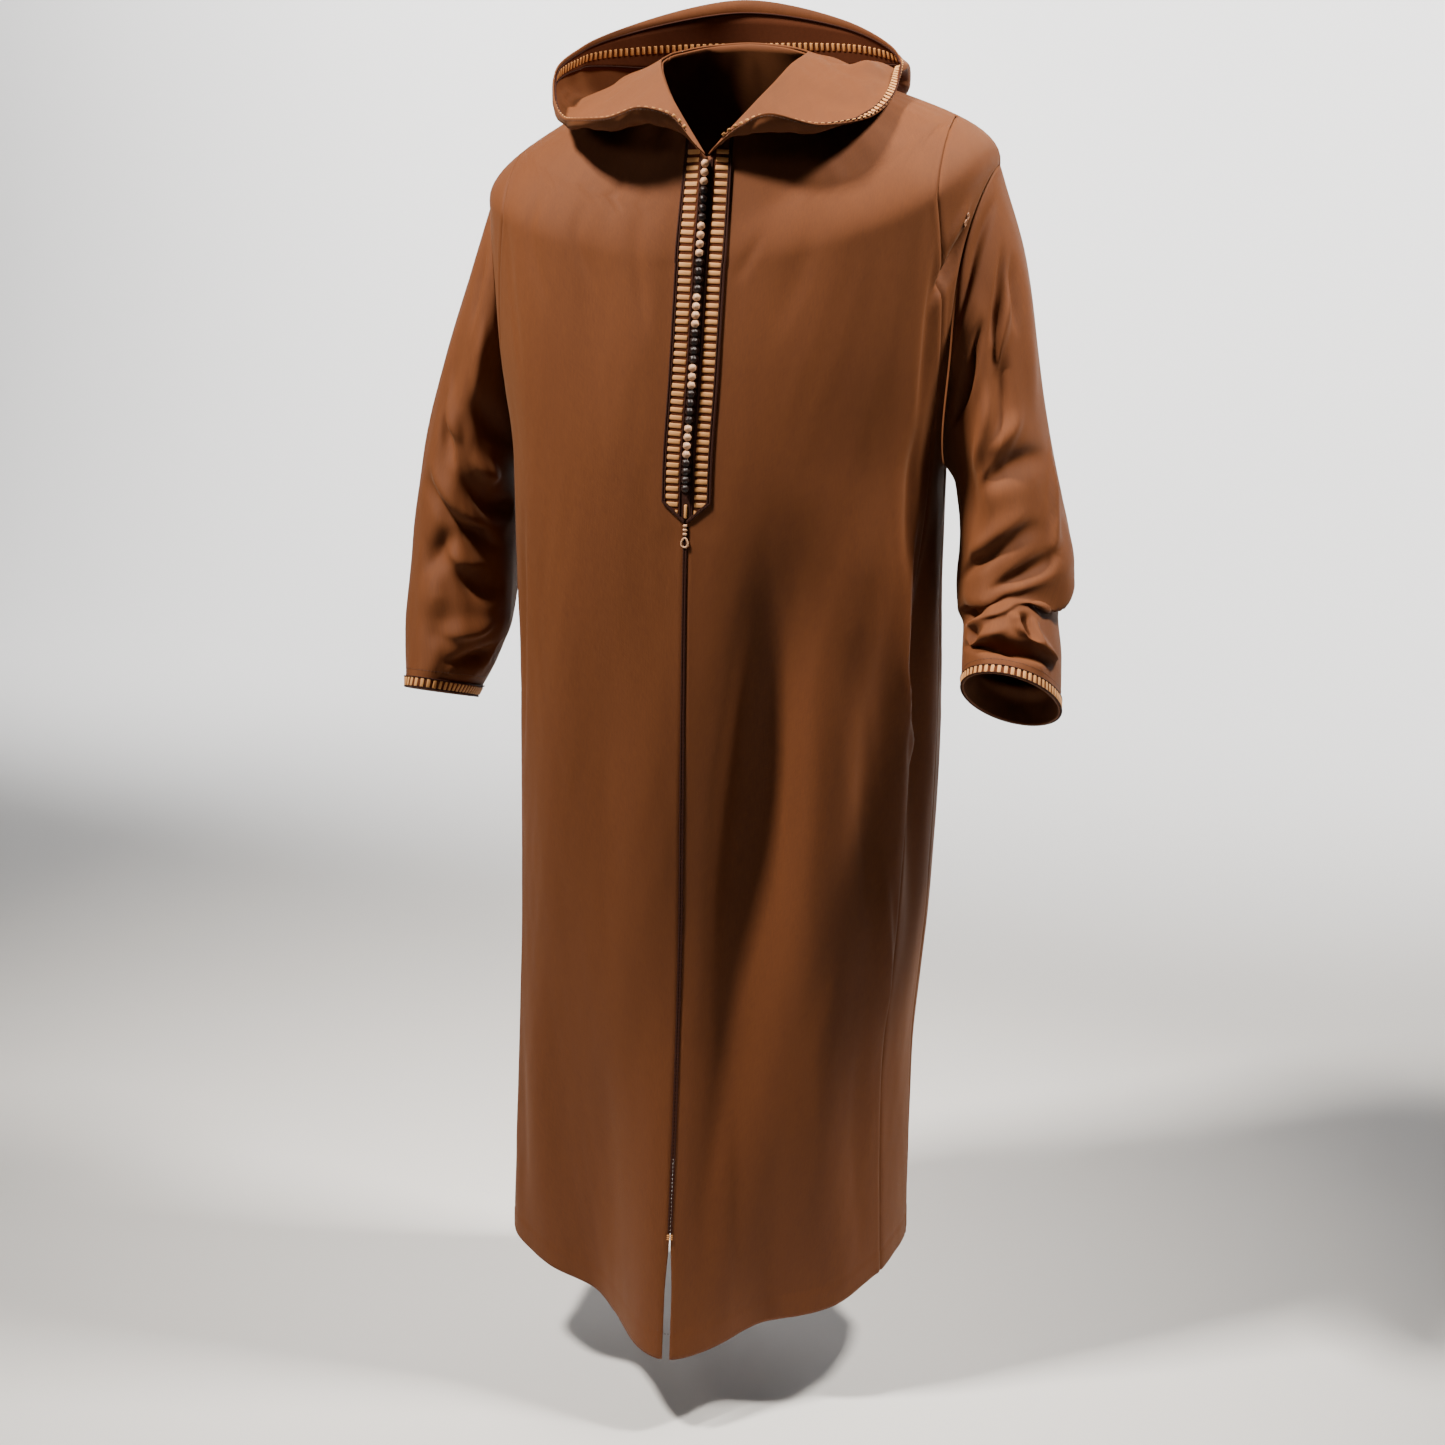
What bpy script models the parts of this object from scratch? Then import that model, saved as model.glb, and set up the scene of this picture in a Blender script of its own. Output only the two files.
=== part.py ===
"""Djellaba robe in the form it takes when worn: hollow body, wide sleeves, hood lying round the neck.

Metres, +Z up. The front faces -Y and the wearer's left is +X. The origin is the point at the base of
the neck, on the shoulder line, where the robe is held.
"""

import math

import bpy
import numpy as np

# Cloth and trim thicknesses, and the air between pieces.
WALL = 0.0020
TRIM_WALL = 0.0013
TRIM_LIFT = 0.0005
SEAM_GAP = 0.00034

# The neckline of the body sits just below and inside the hood's neck seam.
NECK_CENTRE = np.array([0.008, -0.010, 0.0])
NECK_INSET = 0.0010
NECK_DROP = 0.0014

# Levels of the body, measured as the drop below the bottom of the V neck at the centre front.
SHOULDER = 0.110
ARMPIT = 0.332
PLACKET_END = 0.379
SLIT_TOP = 1.207
HEM = 1.345

# Each row is one level of the body: its drop, the side edges and centre front in x, the depth of the
# side seam, front and back in y, the four heights, and how far the section leans to a rectangle.
LEVEL_NAMES = ("drop", "x_left", "x_right", "x_seam", "y_side", "y_front", "y_back",
               "z_front", "z_left", "z_right", "z_back", "square")
LEVELS = (
    (SHOULDER, -0.277, 0.301, 0.016, 0.040, -0.150, 0.138, -0.198, -0.137, -0.100, -0.130, 0.10),
    (0.222, -0.262, 0.280, 0.012, 0.026, -0.162, 0.150, -0.310, -0.290, -0.275, -0.290, 0.12),
    (ARMPIT, -0.242, 0.254, 0.006, 0.012, -0.169, 0.148, -0.420, -0.425, -0.425, -0.420, 0.14),
    (0.600, -0.238, 0.254, 0.002, 0.000, -0.176, 0.146, -0.688, -0.688, -0.688, -0.688, 0.14),
    (0.840, -0.239, 0.248, -0.001, 0.000, -0.182, 0.156, -0.928, -0.920, -0.920, -0.926, 0.12),
    (1.070, -0.243, 0.231, -0.003, 0.004, -0.188, 0.168, -1.156, -1.132, -1.132, -1.142, 0.10),
    (HEM, -0.250, 0.228, -0.004, 0.010, -0.195, 0.180, -1.434, -1.366, -1.372, -1.396, 0.08),
)

# Each row is one soft fold of the body: the angle round the body at its top and bottom, the drops
# where it starts, is fullest and ends, its half width in radians, and its height (negative is a valley).
FOLD_NAMES = ("angle_top", "angle_end", "start", "full", "end", "spread", "height")
BODY_FOLDS = (
    (0.02, 0.04, 0.80, 1.50, 1.90, 0.20, 0.062),
    (0.46, 0.20, 0.34, 0.68, 1.08, 0.17, -0.026),
    (0.50, 0.44, 1.06, 1.50, 1.90, 0.20, -0.034),
    (0.92, 0.98, 0.42, 0.66, 1.00, 0.16, -0.014),
    (1.08, 1.06, 0.34, 0.58, 1.10, 0.09, 0.010),
    (1.32, 1.30, 0.32, 0.56, 1.00, 0.11, -0.024),
    (-0.42, -0.40, 0.02, 0.16, 0.34, 0.10, -0.005),
    (-0.60, -0.48, 0.72, 1.50, 1.90, 0.26, -0.040),
    (-1.16, -1.12, 0.70, 1.40, 1.90, 0.16, 0.012),
    (2.02, 2.10, 0.40, 1.10, 1.80, 0.20, -0.016),
    (2.62, 2.58, 0.22, 1.20, 1.80, 0.22, 0.020),
    (3.05, 3.00, 0.30, 1.00, 1.80, 0.18, -0.022),
    (-2.55, -2.66, 0.26, 1.15, 1.80, 0.22, 0.020),
    (-2.00, -2.10, 0.44, 1.05, 1.80, 0.18, -0.018),
)

# Each row is a level of the seam between a front panel and the side strip beside it: its angle.
# The strip starts this far below the place where its seam crosses the shoulder line.
STRIP_START = 0.0005
STRIP_SEAM_NAMES = ("drop", "angle")
STRIP_SEAM = (
    (SHOULDER, 0.95),
    (0.155, 1.03),
    (0.222, 1.13),
    (ARMPIT, 1.30),
    (0.600, 1.22),
    (0.930, 1.13),
    (HEM, 1.19),
)

# Each row is one section of the hood: the angle where it meets the neckline, then the points at the
# neck seam, halfway up its outer face, and at the rim of the face opening.
HOOD_NAMES = ("angle", "seam", "belly", "rim")
HOOD_SECTIONS = (
    (-0.012, (0.0150, -0.1295, -0.0870), (0.0120, -0.1340, -0.0830), (0.0080, -0.1375, -0.0770)),
    (-0.075, (-0.004, -0.118, -0.062), (-0.014, -0.139, -0.062), (-0.020, -0.152, -0.044)),
    (-0.22, (-0.026, -0.100, -0.034), (-0.042, -0.142, -0.056), (-0.048, -0.162, -0.038)),
    (-0.50, (-0.045, -0.068, -0.013), (-0.080, -0.130, -0.060), (-0.088, -0.157, -0.049)),
    (-0.95, (-0.062, -0.025, 0.004), (-0.126, -0.090, -0.056), (-0.140, -0.120, -0.050)),
    (-1.32, (-0.070, 0.010, 0.012), (-0.156, -0.036, -0.042), (-0.173, -0.066, -0.027)),
    (-1.75, (-0.070, 0.040, 0.017), (-0.174, 0.026, -0.030), (-0.190, 0.002, 0.006)),
    (-2.20, (-0.058, 0.065, 0.022), (-0.170, 0.090, -0.034), (-0.180, 0.062, 0.028)),
    (-2.65, (-0.035, 0.080, 0.027), (-0.110, 0.158, -0.080), (-0.135, 0.126, 0.054)),
    (-3.14159, (0.006, 0.086, 0.030), (0.004, 0.214, -0.150), (-0.020, 0.170, 0.080)),
    (-3.63, (0.045, 0.080, 0.027), (0.122, 0.166, -0.076), (0.104, 0.146, 0.056)),
    (-4.08, (0.072, 0.065, 0.022), (0.176, 0.100, -0.022), (0.172, 0.104, 0.022)),
    (-4.53, (0.086, 0.040, 0.018), (0.152, 0.038, 0.004), (0.190, 0.046, 0.002)),
    (-4.96, (0.088, 0.010, 0.014), (0.152, -0.014, -0.010), (0.195, -0.018, -0.026)),
    (-5.33, (0.084, -0.025, 0.006), (0.142, -0.066, -0.036), (0.180, -0.082, -0.050)),
    (-5.78, (0.075, -0.066, -0.013), (0.114, -0.108, -0.060), (0.140, -0.128, -0.056)),
    (-6.063, (0.062, -0.098, -0.034), (0.078, -0.132, -0.064), (0.090, -0.148, -0.044)),
    (-6.208, (0.040, -0.118, -0.062), (0.048, -0.134, -0.068), (0.056, -0.144, -0.058)),
    (-6.271, (0.0205, -0.1295, -0.0870), (0.0235, -0.1335, -0.0840), (0.0275, -0.1365, -0.0790)),
)

# Each row is one section of a sleeve: how far along it lies, its outer and inner edge points, half its
# depth from front to back, and how far its front edge is raised by the tilt of the forearm.
SLEEVE_NAMES = ("along", "outer", "inner", "depth", "tilt")
SLEEVE_LEFT = (
    (0.00, (0.3010, 0.040, -0.100), (0.2540, 0.012, -0.425), 0.055, 0.00),
    (0.14, (0.330, 0.041, -0.190), (0.268, 0.010, -0.446), 0.080, 0.00),
    (0.30, (0.349, 0.034, -0.300), (0.273, 0.006, -0.476), 0.092, 0.02),
    (0.46, (0.369, 0.026, -0.405), (0.275, 0.002, -0.512), 0.096, 0.06),
    (0.60, (0.390, 0.020, -0.490), (0.275, -0.006, -0.548), 0.098, 0.12),
    (0.70, (0.401, 0.014, -0.548), (0.279, -0.026, -0.580), 0.094, 0.22),
    (0.76, (0.388, -0.010, -0.572), (0.288, -0.044, -0.594), 0.080, 0.36),
    (0.86, (0.397, -0.050, -0.620), (0.292, -0.070, -0.618), 0.080, 0.50),
    (1.00, (0.402, -0.084, -0.672), (0.298, -0.100, -0.656), 0.082, 0.58),
)
SLEEVE_RIGHT = (
    (0.00, (-0.2770, 0.040, -0.137), (-0.2460, 0.012, -0.425), 0.055, 0.00),
    (0.14, (-0.303, 0.042, -0.212), (-0.255, 0.010, -0.446), 0.078, 0.00),
    (0.30, (-0.336, 0.034, -0.316), (-0.253, 0.004, -0.480), 0.090, 0.00),
    (0.48, (-0.361, 0.022, -0.430), (-0.252, -0.002, -0.525), 0.094, 0.04),
    (0.66, (-0.372, 0.004, -0.535), (-0.252, -0.016, -0.575), 0.092, 0.10),
    (0.80, (-0.370, -0.030, -0.610), (-0.250, -0.042, -0.622), 0.086, 0.18),
    (0.90, (-0.362, -0.056, -0.658), (-0.262, -0.064, -0.662), 0.080, 0.24),
    (1.00, (-0.352, -0.078, -0.700), (-0.284, -0.082, -0.702), 0.076, 0.30),
)
ARMHOLE_SPREAD = 0.35
ARMHOLE_LEAN = 0.45
ARMHOLE_STEPS = 10
CUFF_TRIM_START = 0.972

# Each row is one fold of a sleeve: the angle round it (0 is outside, a quarter turn is the front),
# where along it starts, is fullest and ends, how far the angle leans, its half width and its height.
SLEEVE_FOLD_NAMES = ("angle", "start", "full", "end", "lean", "spread", "height")
SLEEVE_LEFT_FOLDS = (
    (1.10, 0.05, 0.22, 0.46, 0.55, 0.22, -0.012),
    (2.10, 0.10, 0.34, 0.56, -0.40, 0.24, -0.011),
    (0.55, 0.55, 0.68, 0.75, 0.90, 0.40, 0.009),
    (-1.20, 0.12, 0.40, 0.70, 0.30, 0.30, -0.012),
    (-2.20, 0.20, 0.50, 0.80, -0.20, 0.26, 0.010),
)
SLEEVE_RIGHT_FOLDS = (
    (1.25, 0.10, 0.30, 0.50, 0.60, 0.22, -0.008),
    (1.60, 0.50, 0.62, 0.76, -0.70, 0.22, -0.012),
    (2.30, 0.40, 0.54, 0.70, 0.20, 0.22, -0.008),
    (-1.20, 0.10, 0.42, 0.74, 0.30, 0.30, -0.012),
    (-2.20, 0.20, 0.54, 0.84, -0.20, 0.26, 0.009),
)

# Placket: widths from the centre line, and the row of knot buttons.
STRIP_HALF = 0.0060
BAND_INNER = 0.0067
BAND_OUTER = 0.0270
BAND_TOP = 0.004
BAND_SLANT = 0.017
BUTTON_COUNT = 38
BUTTON_FIRST = 0.0085
BUTTON_PITCH = 0.0091
BUTTON_RADIUS = 0.0040
BUTTON_GROUPS = (3, 4, 4, 4, 4, 4, 3, 4, 4, 4)
BRAID_HALF = 0.0026
SLIT_HALF = 0.0034

# Colour, roughness and sheen of each material.
MATERIALS = {
    "Robe cloth": ((0.165, 0.066, 0.029), 0.88, 0.25),
    "Dark braid": ((0.022, 0.009, 0.007), 0.80, 0.10),
    "Gold stripe trim": ((0.300, 0.160, 0.080), 0.60, 0.10),
    "Light knot": ((0.560, 0.350, 0.215), 0.65, 0.10),
    "Dark knot": ((0.040, 0.016, 0.012), 0.70, 0.10),
}


def follow(knots, values, at):
    """Smooth curve through values at knots that never passes beyond them."""
    knots = np.asarray(knots, float)
    values = np.asarray(values, float)
    at = np.clip(np.asarray(at, float), knots[0], knots[-1])
    gap = np.diff(knots)
    slope = np.diff(values) / gap
    tangent = np.empty_like(values)
    tangent[0] = slope[0]
    tangent[-1] = slope[-1]
    both = slope[:-1] * slope[1:]
    total = slope[:-1] + slope[1:]
    tangent[1:-1] = np.where(both > 0, 2 * both / np.where(total == 0, 1, total), 0)
    cell = np.clip(np.searchsorted(knots, at, side="right") - 1, 0, len(gap) - 1)
    t = (at - knots[cell]) / gap[cell]
    start = (1 + 2 * t) * (1 - t) ** 2 * values[cell] + t * (1 - t) ** 2 * gap[cell] * tangent[cell]
    end = t * t * (3 - 2 * t) * values[cell + 1] - t * t * (1 - t) * gap[cell] * tangent[cell + 1]
    return start + end


def follow_points(knots, points, at):
    """Smooth curve through points in space."""
    points = np.asarray(points, float)
    return np.stack([follow(knots, points[:, axis], at) for axis in range(3)], axis=-1)


def ease(t):
    """Smooth step from 0 to 1."""
    t = np.clip(t, 0, 1)
    return t * t * (3 - 2 * t)


def rise_and_fall(at, start, full, end):
    """Smooth hump that is 0 at start and end and 1 where it is full."""
    return np.where(at < full, ease((at - start) / (full - start)), ease((end - at) / (end - full)))


def unit(vectors):
    """Vectors scaled to length one."""
    return vectors / np.maximum(np.linalg.norm(vectors, axis=-1, keepdims=True), 1e-12)


def column(table, names, name):
    """All values of one named column of a table."""
    index = names.index(name)
    return [row[index] for row in table]


def level(name, drop):
    """One column of the body levels at the given drop."""
    return follow(column(LEVELS, LEVEL_NAMES, "drop"), column(LEVELS, LEVEL_NAMES, name), drop)


def ring_point(angle, drop):
    """Point of the body section at one level, before any fold."""
    sine, cosine = np.sin(angle), np.cos(angle)
    middle = (level("x_right", drop) + level("x_left", drop)) / 2
    half = (level("x_right", drop) - level("x_left", drop)) / 2
    square = level("square", drop)
    side = level("y_side", drop)
    reach = np.where(cosine > 0, side - level("y_front", drop), level("y_back", drop) - side)
    x = middle + half * sine * (1 + square * cosine ** 2)
    y = side - reach * cosine * (1 + square * sine ** 2)
    flank = np.where(sine > 0, level("z_right", drop), level("z_left", drop))
    centre = np.where(cosine > 0, level("z_front", drop), level("z_back", drop))
    z = flank * sine ** 2 + centre * cosine ** 2
    return np.stack([x, y, z], axis=-1)


def neck_point(angle):
    """Point of the neckline seam at an angle round the body."""
    turn = np.mod(-np.asarray(angle, float) - 0.012, 2 * math.pi) + 0.012
    seams = column(HOOD_SECTIONS, HOOD_NAMES, "seam")
    seams = seams + seams[:1]
    knots = [-value for value in column(HOOD_SECTIONS, HOOD_NAMES, "angle")] + [2 * math.pi + 0.012]
    seam = follow_points(knots, seams, turn)
    outward = unit((seam - NECK_CENTRE) * np.array([1.0, 1.0, 0.0]))
    return seam - outward * NECK_INSET - np.array([0.0, 0.0, NECK_DROP])


def body_smooth(angle, drop):
    """Point of the body without folds, from the neckline to the hem."""
    angle, drop = np.broadcast_arrays(np.asarray(angle, float), np.asarray(drop, float))
    low = np.maximum(drop, SHOULDER)
    below = ring_point(angle, low)
    edge = ring_point(angle, np.full_like(drop, SHOULDER))
    step = 0.01
    leaving = (ring_point(angle, np.full_like(drop, SHOULDER + step)) - edge) / step * SHOULDER
    neck = neck_point(angle)
    t = np.clip(drop / SHOULDER, 0, 1)[..., None]
    yoke = ((1 + 2 * t) * (1 - t) ** 2 * neck + t * (1 - t) ** 2 * (edge - neck)
            + t * t * (3 - 2 * t) * edge - t * t * (1 - t) * leaving)
    return np.where((drop < SHOULDER)[..., None], yoke, below)


def fold_height(angle, drop):
    """How far the folds move the body surface outwards."""
    total = np.zeros(np.broadcast(angle, drop).shape)
    for angle_top, angle_end, start, full, end, spread, height in BODY_FOLDS:
        along = np.clip((drop - start) / (end - start), 0, 1)
        centre = angle_top + (angle_end - angle_top) * along
        away = np.mod(angle - centre + math.pi, 2 * math.pi) - math.pi
        total = total + height * np.exp(-(away / spread) ** 2) * rise_and_fall(drop, start, full, end)
    return total


def body_point(angle, drop):
    """Point of the outer face of the body, folds included."""
    point = body_smooth(angle, drop)
    flat = np.array([1.0, 1.0, 0.0])
    axis = body_smooth(np.asarray(angle) * 0 + math.pi / 2, drop) * 0.5
    axis = axis + body_smooth(np.asarray(angle) * 0 - math.pi / 2, drop) * 0.5
    return point + unit((point - axis) * flat) * fold_height(angle, drop)[..., None]


def surface_normal(surface, first, second):
    """Outward unit normal of a surface function of two values."""
    step = 0.0015
    across = surface(first + step, second) - surface(first - step, second)
    down = surface(first, second + step) - surface(first, second - step)
    return unit(np.cross(down, across))


def body_normal(angle, drop):
    """Outward normal of the body, kept inside its end levels."""
    return surface_normal(body_point, angle, np.clip(drop, 0.0016, HEM - 0.0016))


def body_rate(angle, drop):
    """Metres of cloth per radian round the body."""
    step = 0.002
    drop = np.asarray(drop, float)
    return np.linalg.norm(body_point(angle + step, drop) - body_point(angle - step, drop), axis=-1) / (2 * step)


def seam_angle(drop, metres):
    """Angle of a line that runs the given metres to the side of the centre front seam."""
    drop, metres = np.broadcast_arrays(np.asarray(drop, float), np.asarray(metres, float))
    clear = np.maximum(drop, SHOULDER)
    middle = (level("x_right", clear) + level("x_left", clear)) / 2
    half = (level("x_right", clear) - level("x_left", clear)) / 2 * (1 + level("square", clear))
    centre = (level("x_seam", clear) - middle) / half
    centre = centre * ease(0.25 + drop / SHOULDER)
    rate = np.where(drop < SHOULDER, 0.31, half)
    return centre + metres / rate


def armhole_spread(drop):
    """Half the angle of the armhole at a level, 0 above and below it."""
    part = np.clip((np.asarray(drop, float) - SHOULDER) / (ARMPIT - SHOULDER), 0, 1)
    return ARMHOLE_SPREAD * 2 * np.sqrt(part * (1 - part)) * (1 + ARMHOLE_LEAN * (1 - 2 * part))


def armhole_rows():
    """Levels of the panel rows beside the armhole, one for each step of the sleeve's edge."""
    turn = np.linspace(0, math.pi, ARMHOLE_STEPS + 1)
    return SHOULDER + (ARMPIT - SHOULDER) * (1 - np.cos(turn)) / 2


def strip_edge_x(side):
    """Sideways position of the upright seam where the side strip starts at the shoulder."""
    return float(body_smooth(side * STRIP_SEAM[0][1], SHOULDER)[0])


def find_between(test, low, high):
    """Value between low and high where a falling test passes zero."""
    low, high = np.broadcast_arrays(np.asarray(low, float), np.asarray(high, float))
    for _ in range(40):
        middle = (low + high) / 2
        above = test(middle) > 0
        low = np.where(above, middle, low)
        high = np.where(above, high, middle)
    return (low + high) / 2


def strip_top(side):
    """Level where the upright seam crosses the shoulder line."""
    edge = strip_edge_x(side)
    return float(find_between(lambda drop: side * (edge - body_smooth(side * math.pi / 2, drop)[..., 0]),
                              0.02, SHOULDER))


def strip_angle(rows, side, clear):
    """Angle of the upright seam at each level, moved sideways by the clear distance."""
    edge = strip_edge_x(side) + side * clear
    yoke = find_between(lambda angle: side * (edge - body_smooth(side * angle, rows)[..., 0]),
                        np.full_like(rows, 0.5), np.full_like(rows, math.pi / 2))
    below = follow(column(STRIP_SEAM, STRIP_SEAM_NAMES, "drop"),
                   column(STRIP_SEAM, STRIP_SEAM_NAMES, "angle"), rows)
    below = below + clear / body_rate(side * below, rows)
    return side * np.where(rows < SHOULDER - 1e-9, yoke, below)


def panel_rows(side=1):
    """Levels of all rows of the front and back panels."""
    top = strip_top(side)
    yoke = np.concatenate([np.linspace(0, top, 4), np.linspace(top + STRIP_START, SHOULDER, 5)[:-1]])
    skirt = np.linspace(PLACKET_END, SLIT_TOP, 14)
    return np.concatenate([yoke, armhole_rows(), skirt, [1.250, 1.296, HEM]])


def slit_half(drop):
    """Half the gap between the front panels at the centre, open below the top of the slit."""
    return SEAM_GAP / 2 + SLIT_HALF * ease((np.asarray(drop, float) - SLIT_TOP + 0.02) / 0.09)


def side_angle(drop, side, toward_front):
    """Angle of a panel's side edge, clear of its neighbour and of the armhole."""
    half_gap = SEAM_GAP / 2 / body_rate(np.full(np.shape(drop), side * math.pi / 2), drop)
    offset = armhole_spread(drop) + half_gap
    return side * (math.pi / 2 - offset if toward_front else math.pi / 2 + offset)


def mix_columns(start, end, count):
    """Evenly spaced columns of angle from the start edge to the end edge of every row."""
    part = np.linspace(0, 1, count + 1)[None, :]
    return start[:, None] * (1 - part) + end[:, None] * part


def front_grid(side, count):
    """Angles and levels of one front panel, with narrow columns under the placket."""
    rows = panel_rows(side)
    near = [seam_angle(rows, side * (slit_half(rows) + metres)) for metres in (0.0, 0.0063, BAND_OUTER)]
    edge = np.abs(strip_angle(rows, side, -SEAM_GAP / 2))
    edge = side * np.minimum(edge, np.abs(side_angle(rows, side, True)))
    angles = np.concatenate([np.stack(near[:-1], axis=1), mix_columns(near[-1], edge, count)], axis=1)
    return angles, np.repeat(rows[:, None], angles.shape[1], axis=1)


def strip_grid(side, count):
    """Angles and levels of one side strip, from the front panel to the armhole and side seam."""
    rows = panel_rows(side)
    top = strip_top(side)
    rows = rows[rows > top + STRIP_START / 2]
    angles = mix_columns(strip_angle(rows, side, SEAM_GAP / 2), side_angle(rows, side, True), count)
    return angles, np.repeat(rows[:, None], angles.shape[1], axis=1)


def back_grid(count):
    """Angles and levels of the back panel, from the wearer's right round to the left."""
    rows = panel_rows()
    right = side_angle(rows, -1, False) + 2 * math.pi
    left = side_angle(rows, 1, False)
    angles = mix_columns(left, right, count)
    return angles, np.repeat(rows[:, None], angles.shape[1], axis=1)


def sleeve_table(side):
    """Sections and folds of the sleeve on one side."""
    return (SLEEVE_LEFT, SLEEVE_LEFT_FOLDS) if side > 0 else (SLEEVE_RIGHT, SLEEVE_RIGHT_FOLDS)


def sleeve_oval(side, turn, along):
    """Oval section of a sleeve, before it is fitted to the armhole."""
    rows, folds = sleeve_table(side)
    knots = column(rows, SLEEVE_NAMES, "along")
    outer = follow_points(knots, column(rows, SLEEVE_NAMES, "outer"), along)
    inner = follow_points(knots, column(rows, SLEEVE_NAMES, "inner"), along)
    depth = follow(knots, column(rows, SLEEVE_NAMES, "depth"), along)
    tilt = follow(knots, column(rows, SLEEVE_NAMES, "tilt"), along)
    forward = np.stack([depth * 0, -depth * np.cos(tilt), depth * np.sin(tilt)], axis=-1)
    swell = np.zeros(np.broadcast(turn, along).shape)
    for angle, start, full, end, lean, spread, height in folds:
        centre = angle + lean * (along - full) / (end - start)
        away = np.mod(turn - centre + math.pi, 2 * math.pi) - math.pi
        swell = swell + height * np.exp(-(away / spread) ** 2) * rise_and_fall(along, start, full, end)
    middle = (outer + inner) / 2
    arm = (outer - inner) / 2 * np.cos(turn)[..., None] + forward * np.sin(turn)[..., None]
    return middle + arm + unit(arm) * swell[..., None]


def armhole_edge(side, turn):
    """Line where the sleeve meets the body, from the shoulder tip round the front."""
    drop = SHOULDER + (ARMPIT - SHOULDER) * (1 - np.cos(turn)) / 2
    spread = ARMHOLE_SPREAD * np.sin(turn) * (1 + ARMHOLE_LEAN * np.cos(turn))
    return body_point(side * (math.pi / 2 - spread), drop)


def sleeve_point(side, turn, along):
    """Point of the outer face of a sleeve."""
    turn, along = np.broadcast_arrays(np.asarray(turn, float), np.asarray(along, float))
    fit = armhole_edge(side, turn) - sleeve_oval(side, turn, along * 0)
    keep = 1 - ease(along / 0.30)
    clear = np.array([side * 0.0009, 0.0, 0.0])
    return sleeve_oval(side, turn, along) + fit * keep[..., None] + clear


def sleeve_grid(rows):
    """Turns and positions of the sleeve's grid, one column for each step of the armhole."""
    turns = np.linspace(0, 2 * math.pi, 2 * ARMHOLE_STEPS + 1)[:-1]
    return np.meshgrid(turns, rows)


def hood_point(around, up):
    """Point of the outer face of the hood: around from the V to the V, up from neck seam to rim."""
    around, up = np.broadcast_arrays(np.asarray(around, float), np.asarray(up, float))
    knots = np.linspace(0, 1, len(HOOD_SECTIONS))
    seam = follow_points(knots, column(HOOD_SECTIONS, HOOD_NAMES, "seam"), around)
    belly = follow_points(knots, column(HOOD_SECTIONS, HOOD_NAMES, "belly"), around)
    rim = follow_points(knots, column(HOOD_SECTIONS, HOOD_NAMES, "rim"), around)
    bend = 2 * belly - (seam + rim) / 2
    t = up[..., None]
    return (1 - t) ** 2 * seam + 2 * t * (1 - t) * bend + t * t * rim


def hood_normal(around, up):
    """Normal of the hood, away from the neck."""
    around = np.clip(around, 0.002, 0.998)
    up = np.clip(up, 0.002, 0.998)
    return surface_normal(hood_point, around, up)


def make_material(name):
    """Plain material from the table."""
    colour, roughness, sheen = MATERIALS[name]
    material = bpy.data.materials.new(name)
    material.use_nodes = True
    shader = material.node_tree.nodes["Principled BSDF"]
    shader.inputs["Base Color"].default_value = (*colour, 1.0)
    shader.inputs["Roughness"].default_value = roughness
    shader.inputs["Sheen Weight"].default_value = sheen
    material.diffuse_color = (*colour, 1.0)
    return material


def add_object(name, points, faces, material):
    """Mesh object with outward faces in its own material."""
    mesh = bpy.data.meshes.new(name)
    mesh.from_pydata([tuple(point) for point in points], [], faces)
    mesh.update()
    volume = 0.0
    for triangle in mesh_triangles(mesh):
        a, b, c = (points[index] for index in triangle)
        volume += float(np.dot(a, np.cross(b, c)))
    if volume < 0:
        mesh.flip_normals()
    mesh.shade_smooth()
    mesh.set_sharp_from_angle(angle=math.radians(40))
    mesh.materials.append(material)
    item = bpy.data.objects.new(name, mesh)
    bpy.context.scene.collection.objects.link(item)
    return item


def mesh_triangles(mesh):
    """Corner triples of the mesh, split the way the mesh draws them."""
    mesh.calc_loop_triangles()
    return [tuple(triangle.vertices) for triangle in mesh.loop_triangles]


def add_sheet(name, face, normal, wall, material, closed=False):
    """Solid wall from a grid of points on its outer face, thickened against the normal."""
    rows, columns = face.shape[:2]
    inner = face - normal * wall
    points = np.concatenate([face.reshape(-1, 3), inner.reshape(-1, 3)])
    back = rows * columns
    spans = columns if closed else columns - 1
    faces = []

    def at(row, column):
        return row * columns + column % columns

    for row in range(rows - 1):
        for column in range(spans):
            a, b = at(row, column), at(row, column + 1)
            c, d = at(row + 1, column + 1), at(row + 1, column)
            faces += [(a, b, c), (a, c, d), (back + c, back + b, back + a), (back + d, back + c, back + a)]
    edges = [(at(row, column), at(row, column + 1), turned)
             for column in range(spans) for row, turned in ((0, False), (rows - 1, True))]
    if not closed:
        edges += [(at(row, column), at(row + 1, column), turned)
                  for row in range(rows - 1) for column, turned in ((0, True), (columns - 1, False))]
    for a, b, turned in edges:
        for corners in ((b, a, back + b), (a, back + a, back + b)):
            faces.append(corners[::-1] if turned else corners)
    return add_object(name, points, faces, material)


def split_quads(faces):
    """Every four-sided face as two triangles."""
    result = []
    for face in faces:
        result.append(face[:3])
        if len(face) == 4:
            result.append((face[0], face[2], face[3]))
    return result


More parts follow.
